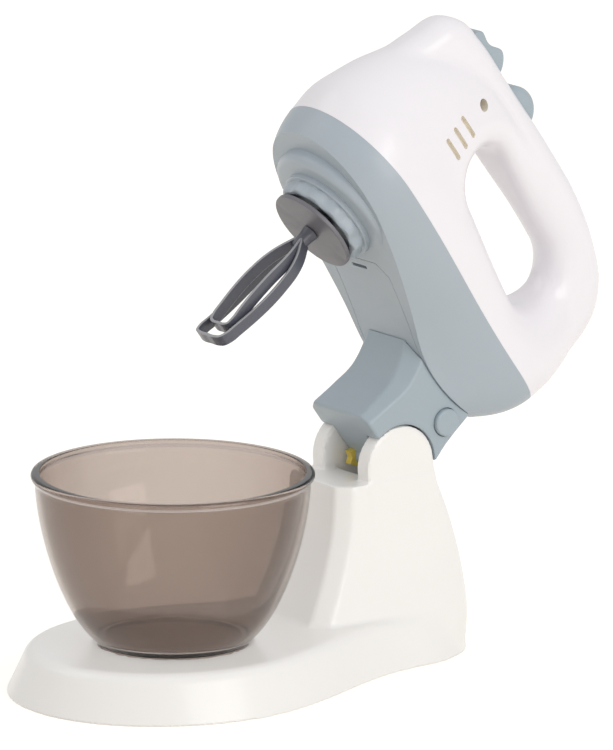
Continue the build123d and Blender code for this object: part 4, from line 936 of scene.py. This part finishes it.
def smooth_copy(node, body, slot, key):
    """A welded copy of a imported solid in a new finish, shaded smooth except at its sharp edges."""
    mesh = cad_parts[node].data.copy()
    with opened(mesh) as shape:
        bmesh.ops.remove_doubles(shape, verts=shape.verts, dist=COPY_WELD)
    shade(mesh, SHARP_COPY)
    if "custom_normal" in mesh.attributes:
        mesh.attributes.remove(mesh.attributes["custom_normal"])
    mesh.materials.clear()
    mesh.materials.append(finish_for(key))
    placed(node + "_skin", mesh, body, slot, node)


def carve(mesh, cutters):
    """The mesh less each cutter, whose faces bring their own material."""
    held = bpy.data.objects.new("uncut", mesh)
    bpy.context.scene.collection.objects.link(held)
    tools = []
    for place, cutter in enumerate(cutters):
        tool = bpy.data.objects.new("cutter", cutter)
        bpy.context.scene.collection.objects.link(tool)
        step = held.modifiers.new("cut" + str(place), "BOOLEAN")
        step.operation = "DIFFERENCE"
        step.solver = "EXACT"
        step.material_mode = "TRANSFER"
        step.object = tool
        tools.append(tool)
    ready = held.evaluated_get(bpy.context.evaluated_depsgraph_get())
    result = bpy.data.meshes.new_from_object(ready)
    for used in (held, *tools):
        data = used.data
        bpy.data.objects.remove(used)
        bpy.data.meshes.remove(data)
    return result


class MIXER_OT_stage(bpy.types.Operator):
    """Floor, lights, world and camera"""

    bl_idname = "mixer.stage"
    bl_label = "Studio"

    def execute(self, context):
        _, stage = settings()
        scene = context.scene
        scene.view_settings.view_transform = "Standard"
        self.world(scene, stage)
        self.floor()
        self.lamp(scene, "key_light", stage.key_power, KEY_SIZE, KEY_SPOT)
        self.lamp(scene, "fill_light", stage.fill_power, FILL_SIZE, FILL_SPOT)
        self.camera(scene, stage)
        return {"FINISHED"}

    def lamp(self, scene, name, power, size, spot):
        """A square softbox that faces the mixer."""
        lamp = bpy.data.lights.new(name, "AREA")
        lamp.energy = power
        lamp.size = size
        held = bpy.data.objects.new(name, lamp)
        held.location = spot
        held.rotation_mode = "QUATERNION"
        held.rotation_quaternion = (LAMP_AIM - Vector(spot)).to_track_quat("-Z", "Y")
        scene.collection.objects.link(held)

    def world(self, scene, stage):
        """Even light all round; camera and glass rays see plain white."""
        world = bpy.data.worlds.new("studio")
        scene.world = world
        world.use_nodes = True
        tree = world.node_tree
        tree.nodes.clear()
        wire = Wiring(tree)
        path = tree.nodes.new("ShaderNodeLightPath").outputs
        seen = wire.math("MAXIMUM", path["Is Camera Ray"], path["Is Transmission Ray"])
        even = wire.node("ShaderNodeBackground", Color=PLAIN_WHITE, Strength=stage.sky)
        white = wire.node("ShaderNodeBackground", Color=PLAIN_WHITE, Strength=1.0)
        wire.node("ShaderNodeOutputWorld", Surface=wire.choose(seen, even, white))

    def floor(self):
        """One sheet at z = 0; it glows a little to camera, mirror and glass rays, and keeps the shadow."""
        mesh = bpy.data.meshes.new("floor")
        reach = FLOOR_REACH
        corners = [(-reach, -reach, 0), (reach, -reach, 0), (reach, reach, 0), (-reach, reach, 0)]
        mesh.from_pydata(corners, [], [(0, 1, 2, 3)])
        held = bpy.data.objects.new("floor", mesh)
        bpy.context.scene.collection.objects.link(held)
        material = bpy.data.materials.new("floor_paper")
        material.use_nodes = True
        tree = material.node_tree
        tree.nodes.clear()
        wire = Wiring(tree)
        path = tree.nodes.new("ShaderNodeLightPath").outputs
        seen = wire.math("MAXIMUM", path["Is Camera Ray"], path["Is Glossy Ray"])
        seen = wire.math("MAXIMUM", seen, path["Is Transmission Ray"])
        paper = wire.node("ShaderNodeBsdfDiffuse", Color=PAPER)
        glow = wire.node("ShaderNodeEmission", Color=PLAIN_WHITE, Strength=PAPER_GLOW)
        both = tree.nodes.new("ShaderNodeAddShader")
        wire.feed(both.inputs[0], paper.outputs[0])
        wire.feed(both.inputs[1], glow.outputs[0])
        wire.node("ShaderNodeOutputMaterial", Surface=wire.choose(seen, paper, both))
        mesh.materials.append(material)

    def camera(self, scene, stage):
        """Camera on a sphere round its target, for a picture of the photograph's size."""
        data = bpy.data.cameras.new("camera")
        data.sensor_width = SENSOR_WIDTH
        data.lens = stage.focal_pixels * data.sensor_width / max(PHOTO_WIDTH, PHOTO_HEIGHT)
        data.clip_end = SIGHT
        held = bpy.data.objects.new("camera", data)
        scene.collection.objects.link(held)
        turn, rise = stage.azimuth, stage.elevation
        back = Vector((math.sin(turn) * math.cos(rise), -math.cos(turn) * math.cos(rise), math.sin(rise)))
        held.location = Vector(stage.target) + back * stage.distance
        held.rotation_mode = "QUATERNION"
        held.rotation_quaternion = (-back).to_track_quat("-Z", "Y")
        scene.camera = held


class MIXER_OT_stand(bpy.types.Operator):
    """Stand, closing plate, its screws and the hinge pin"""

    bl_idname = "mixer.stand"
    bl_label = "Stand"

    def execute(self, context):
        points, faces = skin(stand_field, *STAND_GRID)
        mesh = new_mesh(stand_frame(points), faces.tolist(), "ivory")
        pocket = prism("ivory", base_outline(PLATE_EDGE), PLATE_BELOW, PLATE_ROOM, stand_frame)
        mesh = carve(mesh, [pocket])
        shade(mesh, SHARP_SKIN)
        placed("stand_skin", mesh, "stand", "ivory_plastic", "stand_shell")
        smooth_copy("base_plate", "stand", "ivory_plastic", "ivory")
        dress("steel", "base_screws", "hinge_pin")
        return {"FINISHED"}


class MIXER_OT_bowl(bpy.types.Operator):
    """See-through bowl"""

    bl_idname = "mixer.bowl"
    bl_label = "Bowl"

    def execute(self, context):
        outer = smooth_line(BOWL_SIDE, BOWL_SIDE_STEPS)
        turn = np.radians(np.linspace(*BOWL_LIP_TURN, BOWL_LIP_STEPS))[:, None]
        lip = BOWL_LIP_MIDDLE + BOWL_LIP_R * np.hstack([np.cos(turn), np.sin(turn)])
        inside = self.inset(outer, BOWL_WALL)[::-1]
        inside = inside[(inside[:, 1] > BOWL_FLOOR) & (inside[:, 1] < BOWL_LIP_MIDDLE[1])]
        brow = (inside[0] + (0.0, BOWL_LIP_MIDDLE[1] + BOWL_LIP_R - inside[0, 1]))[None]
        shares = np.linspace(BOWL_FLOOR_SHARE, 0.0, BOWL_FLOOR_STEPS)[:, None]
        floor = shares * (inside[-1, 0], 0.0) + (0.0, BOWL_FLOOR)
        profile = np.concatenate([BOWL_UNDER, outer, lip, brow, inside, floor])
        points, faces = turned(profile, BOWL_STEPS)
        points += (0.0, BOWL_Y, BOWL_SEAT)
        mesh = new_mesh(stand_frame(points), faces.tolist(), "smoke")
        weld(mesh)
        shade(mesh, SHARP_TURNED)
        placed("bowl_skin", mesh, "bowl", "smoky_plastic", "bowl")
        return {"FINISHED"}

    def inset(self, line, wall):
        """The line moved in by the wall, at right angles to its own direction."""
        along = np.gradient(line, axis=0)
        along /= np.hypot(*along.T)[:, None]
        return line + wall * np.stack([-along[:, 1], along[:, 0]], -1)


class MIXER_OT_cradle(bpy.types.Operator):
    """Tilting cradle, stop cam, release button and latch"""

    bl_idname = "mixer.cradle"
    bl_label = "Cradle"

    def execute(self, context):
        points, faces = skin(cradle_field, *CRADLE_GRID)
        mesh = new_mesh(in_frame(points - (0.0, SEAM, 0.0)), faces.tolist(), "cradle")
        spot = (RELEASE_SPOT[0], RELEASE_SPOT[1] - SEAM)
        circle = stadium(spot, RELEASE_ROOM, RELEASE_ROOM, RELEASE_STEPS)
        mesh = carve(mesh, [prism("cradle", circle, RELEASE_FLOOR, SHOULDER)])
        shade(mesh, SHARP_SKIN)
        placed("cradle_skin", mesh, "cradle", "blue_grey_plastic", "tilt_arm")
        cam = prism("yellow", CAM - (0.0, SEAM), *CAM_SIDES)
        placed("cam_skin", cam, "cradle", "yellow_plastic", "detent_cam")
        smooth_copy("release_button", "release", "blue_grey_plastic", "cradle")
        dress("cradle", "latch_tongue")
        return {"FINISHED"}


class MIXER_OT_housing(bpy.types.Operator):
    """White housing halves, grey belly and battery door"""

    bl_idname = "mixer.housing"
    bl_label = "Housing"

    def execute(self, context):
        self.white()
        smooth_copy("lower_housing", "mixer", "blue_grey_plastic", "grey")
        smooth_copy("battery_door", "mixer", "blue_grey_plastic", "grey")
        dress("steel", "door_screw", "belly_screws", "housing_screw")
        return {"FINISHED"}

    def white(self):
        """White housing and handle from their field, less recesses, screw hole, vents and all below the seam."""
        points, faces = skin(white_field, *WHITE_GRID)
        mesh = new_mesh(in_frame(points), faces.tolist(), "white")
        # The cutters bring the painted warm shade colour into the recesses, the screw hole and the vents
        cutters = [
            prism("liner", rectangle(*SLIDER_RECESS, HANDLE_CLEAR), -SLIDER_HALF, SLIDER_HALF),
            prism("liner", rectangle(*BUTTON_RECESS, HANDLE_CLEAR), -BUTTON_HALF, BUTTON_HALF),
            prism("liner", stadium(SCREW_SPOT, SCREW_HOLE, SCREW_HOLE), SCREW_SEAT, SHOULDER),
        ]
        depths = np.linspace(VENT_SEARCH, SHOULDER, VENT_STEPS)
        for row in range(VENT_COUNT):
            spot = (VENT_P, VENT_RISE + VENT_PITCH * row)
            wall = depths[np.argmax(white_field(spot[0], np.full(VENT_STEPS, spot[1]), depths) > 0)]
            slot = stadium(spot, VENT_LENGTH, VENT_WIDTH)
            for side in (-1, 1):
                cutters.append(prism("liner", slot, side * (wall - VENT_DEPTH), side * SHOULDER))
        below = rectangle(-2 * SHOULDER, 5 * SHOULDER, -SHOULDER, SEAM_GAP)
        cutters.append(prism("white", below, -2 * SHOULDER, 2 * SHOULDER))
        mesh = carve(mesh, cutters)
        shade(mesh, SHARP_SKIN)
        placed("white_housing", mesh, "mixer", "white_plastic", "upper_housing_left", "upper_housing_right")


class MIXER_OT_drive(bpy.types.Operator):
    """Cells, contacts, motor, gears and spindle inside the housing"""

    bl_idname = "mixer.drive"
    bl_label = "Drive"

    def execute(self, context):
        dress("wrap", "aa_cells")
        dress("steel", "battery_contacts", "motor", "gear_plate_screws", "idler_axle", "drive_spindle")
        dress("brass", "motor_pinion")
        dress("dark", "gear_plate")
        dress("gear", "idler_gear", "output_gear", "spindle_bush")
        return {"FINISHED"}


class MIXER_OT_nose(bpy.types.Operator):
    """Collar, splash disc and beater"""

    bl_idname = "mixer.nose"
    bl_label = "Nose"

    def execute(self, context):
        self.collar()
        smooth_copy("splash_disc", "spindle", "dark_plastic", "disc")
        self.beater()
        return {"FINISHED"}

    def about_spindle(self, points):
        """Metres in the frame for points given across, ahead of and along the spindle, in millimetres."""
        across, ahead, along = points.T
        return in_frame(np.stack([SPINDLE_P + ahead, along - SEAM, across], -1))

    def collar(self):
        """Collar under the nose: a turned profile whose ring has broad waves, radius plus wave times cosine."""
        points, faces = turned(COLLAR[:, :2], COLLAR_STEPS)
        turn = np.arctan2(points[:, 1], points[:, 0])
        wave = np.tile(COLLAR[:, 2], COLLAR_STEPS) * COLLAR_WAVE * np.cos(COLLAR_LOBES * turn)
        points[:, 0] += wave * np.cos(turn)
        points[:, 1] += wave * np.sin(turn)
        mesh = new_mesh(self.about_spindle(points), faces.tolist(), "grey")
        weld(mesh)
        shade(mesh, SHARP_COLLAR)
        placed("collar_skin", mesh, "mixer", "blue_grey_plastic", "nose_collar")

    def beater(self):
        """Beater: a turned hub and stem, and two ribbon loops that bow apart and differ in length."""
        points, faces = turned(BEATER_HUB, BEATER_HUB_STEPS)
        # Edge attribute: one along the ribbons' edges, where the beater's finish paints a highlight
        edge = np.zeros(len(points))
        for loop in BEATER_LOOPS:
            more, rings = self.ribbon(*loop)
            faces = np.concatenate([faces, rings + len(points)])
            points = np.concatenate([points, more])
            edge = np.concatenate([edge, np.tile(RIBBON[:, 2], len(more) // len(RIBBON))])
        mesh = new_mesh(self.about_spindle(points), faces.tolist(), "beater")
        mesh.attributes.new("edge", "FLOAT", "POINT").data.foreach_set("value", edge.astype(np.float32))
        weld(mesh)
        shade(mesh, SHARP_TURNED)
        placed("beater_skin", mesh, "beater", "dark_plastic", "beater")

    def ribbon(self, half, tip, bow):
        """A closed loop of flat ribbon: its depth lies ahead, and its middle is bowed ahead by a half sine."""
        length = BEATER_TOP - tip
        side = np.concatenate([LOOP_TOP * (half, 1.0), LOOP_TIP * (half, -1.0) + (0.0, length)])
        ring = np.concatenate([side, side[-2:0:-1] * (-1.0, 1.0), side[:1]])
        line = smooth_line(ring, LOOP_STEPS)[:-1]
        ahead = bow * np.sin(math.pi * line[:, 1] / length)
        path = np.stack([line[:, 0], ahead, BEATER_TOP - line[:, 1]], -1)
        along = np.roll(path, -1, 0) - np.roll(path, 1, 0)
        along /= np.linalg.norm(along, axis=1)[:, None]
        deep = np.array([0.0, 1.0, 0.0]) - along * along[:, 1:2]
        deep /= np.linalg.norm(deep, axis=1)[:, None]
        thick = np.cross(along, deep)
        points = path[:, None] + RIBBON[None, :, :1] * deep[:, None] + RIBBON[None, :, 1:2] * thick[:, None]
        return points.reshape(-1, 3), ring_faces(len(path), len(RIBBON)).reshape(-1, 4)


class MIXER_OT_controls(bpy.types.Operator):
    """Slider, power button and their switches"""

    bl_idname = "mixer.controls"
    bl_label = "Controls"

    def execute(self, context):
        smooth_copy("speed_slider", "slider", "blue_grey_plastic", "cradle")
        smooth_copy("power_button", "power", "blue_grey_plastic", "cradle")
        dress("dark", "speed_switch", "power_switch")
        return {"FINISHED"}


OPERATORS = (
    MIXER_OT_stage, MIXER_OT_stand, MIXER_OT_bowl, MIXER_OT_cradle,
    MIXER_OT_housing, MIXER_OT_drive, MIXER_OT_nose, MIXER_OT_controls,
)


class MIXER_PT_panel(bpy.types.Panel):
    """Sidebar list of the mixer's operators and settings"""

    bl_idname = "MIXER_PT_panel"
    bl_label = "Toy stand mixer"
    bl_space_type = "VIEW_3D"
    bl_region_type = "UI"
    bl_category = "Mixer"

    def draw(self, context):
        for operator in OPERATORS:
            self.layout.operator(operator.bl_idname)
        for group in settings():
            for name in group.bl_rna.properties.keys():
                if name not in ("rna_type", "name"):
                    self.layout.prop(group, name)


CLASSES = (MixerColours, MixerStage, *OPERATORS, MIXER_PT_panel)


def register():
    for made in CLASSES:
        bpy.utils.register_class(made)
    bpy.types.Scene.mixer_colours = bpy.props.PointerProperty(type=MixerColours)
    bpy.types.Scene.mixer_stage = bpy.props.PointerProperty(type=MixerStage)


def unregister():
    del bpy.types.Scene.mixer_stage
    del bpy.types.Scene.mixer_colours
    for made in reversed(CLASSES):
        bpy.utils.unregister_class(made)


def main():
    """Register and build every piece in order."""
    register()
    bpy.ops.mixer.stage()
    bpy.ops.mixer.stand()
    bpy.ops.mixer.bowl()
    bpy.ops.mixer.cradle()
    bpy.ops.mixer.housing()
    bpy.ops.mixer.drive()
    bpy.ops.mixer.nose()
    bpy.ops.mixer.controls()


if __name__ == "__main__":
    main()
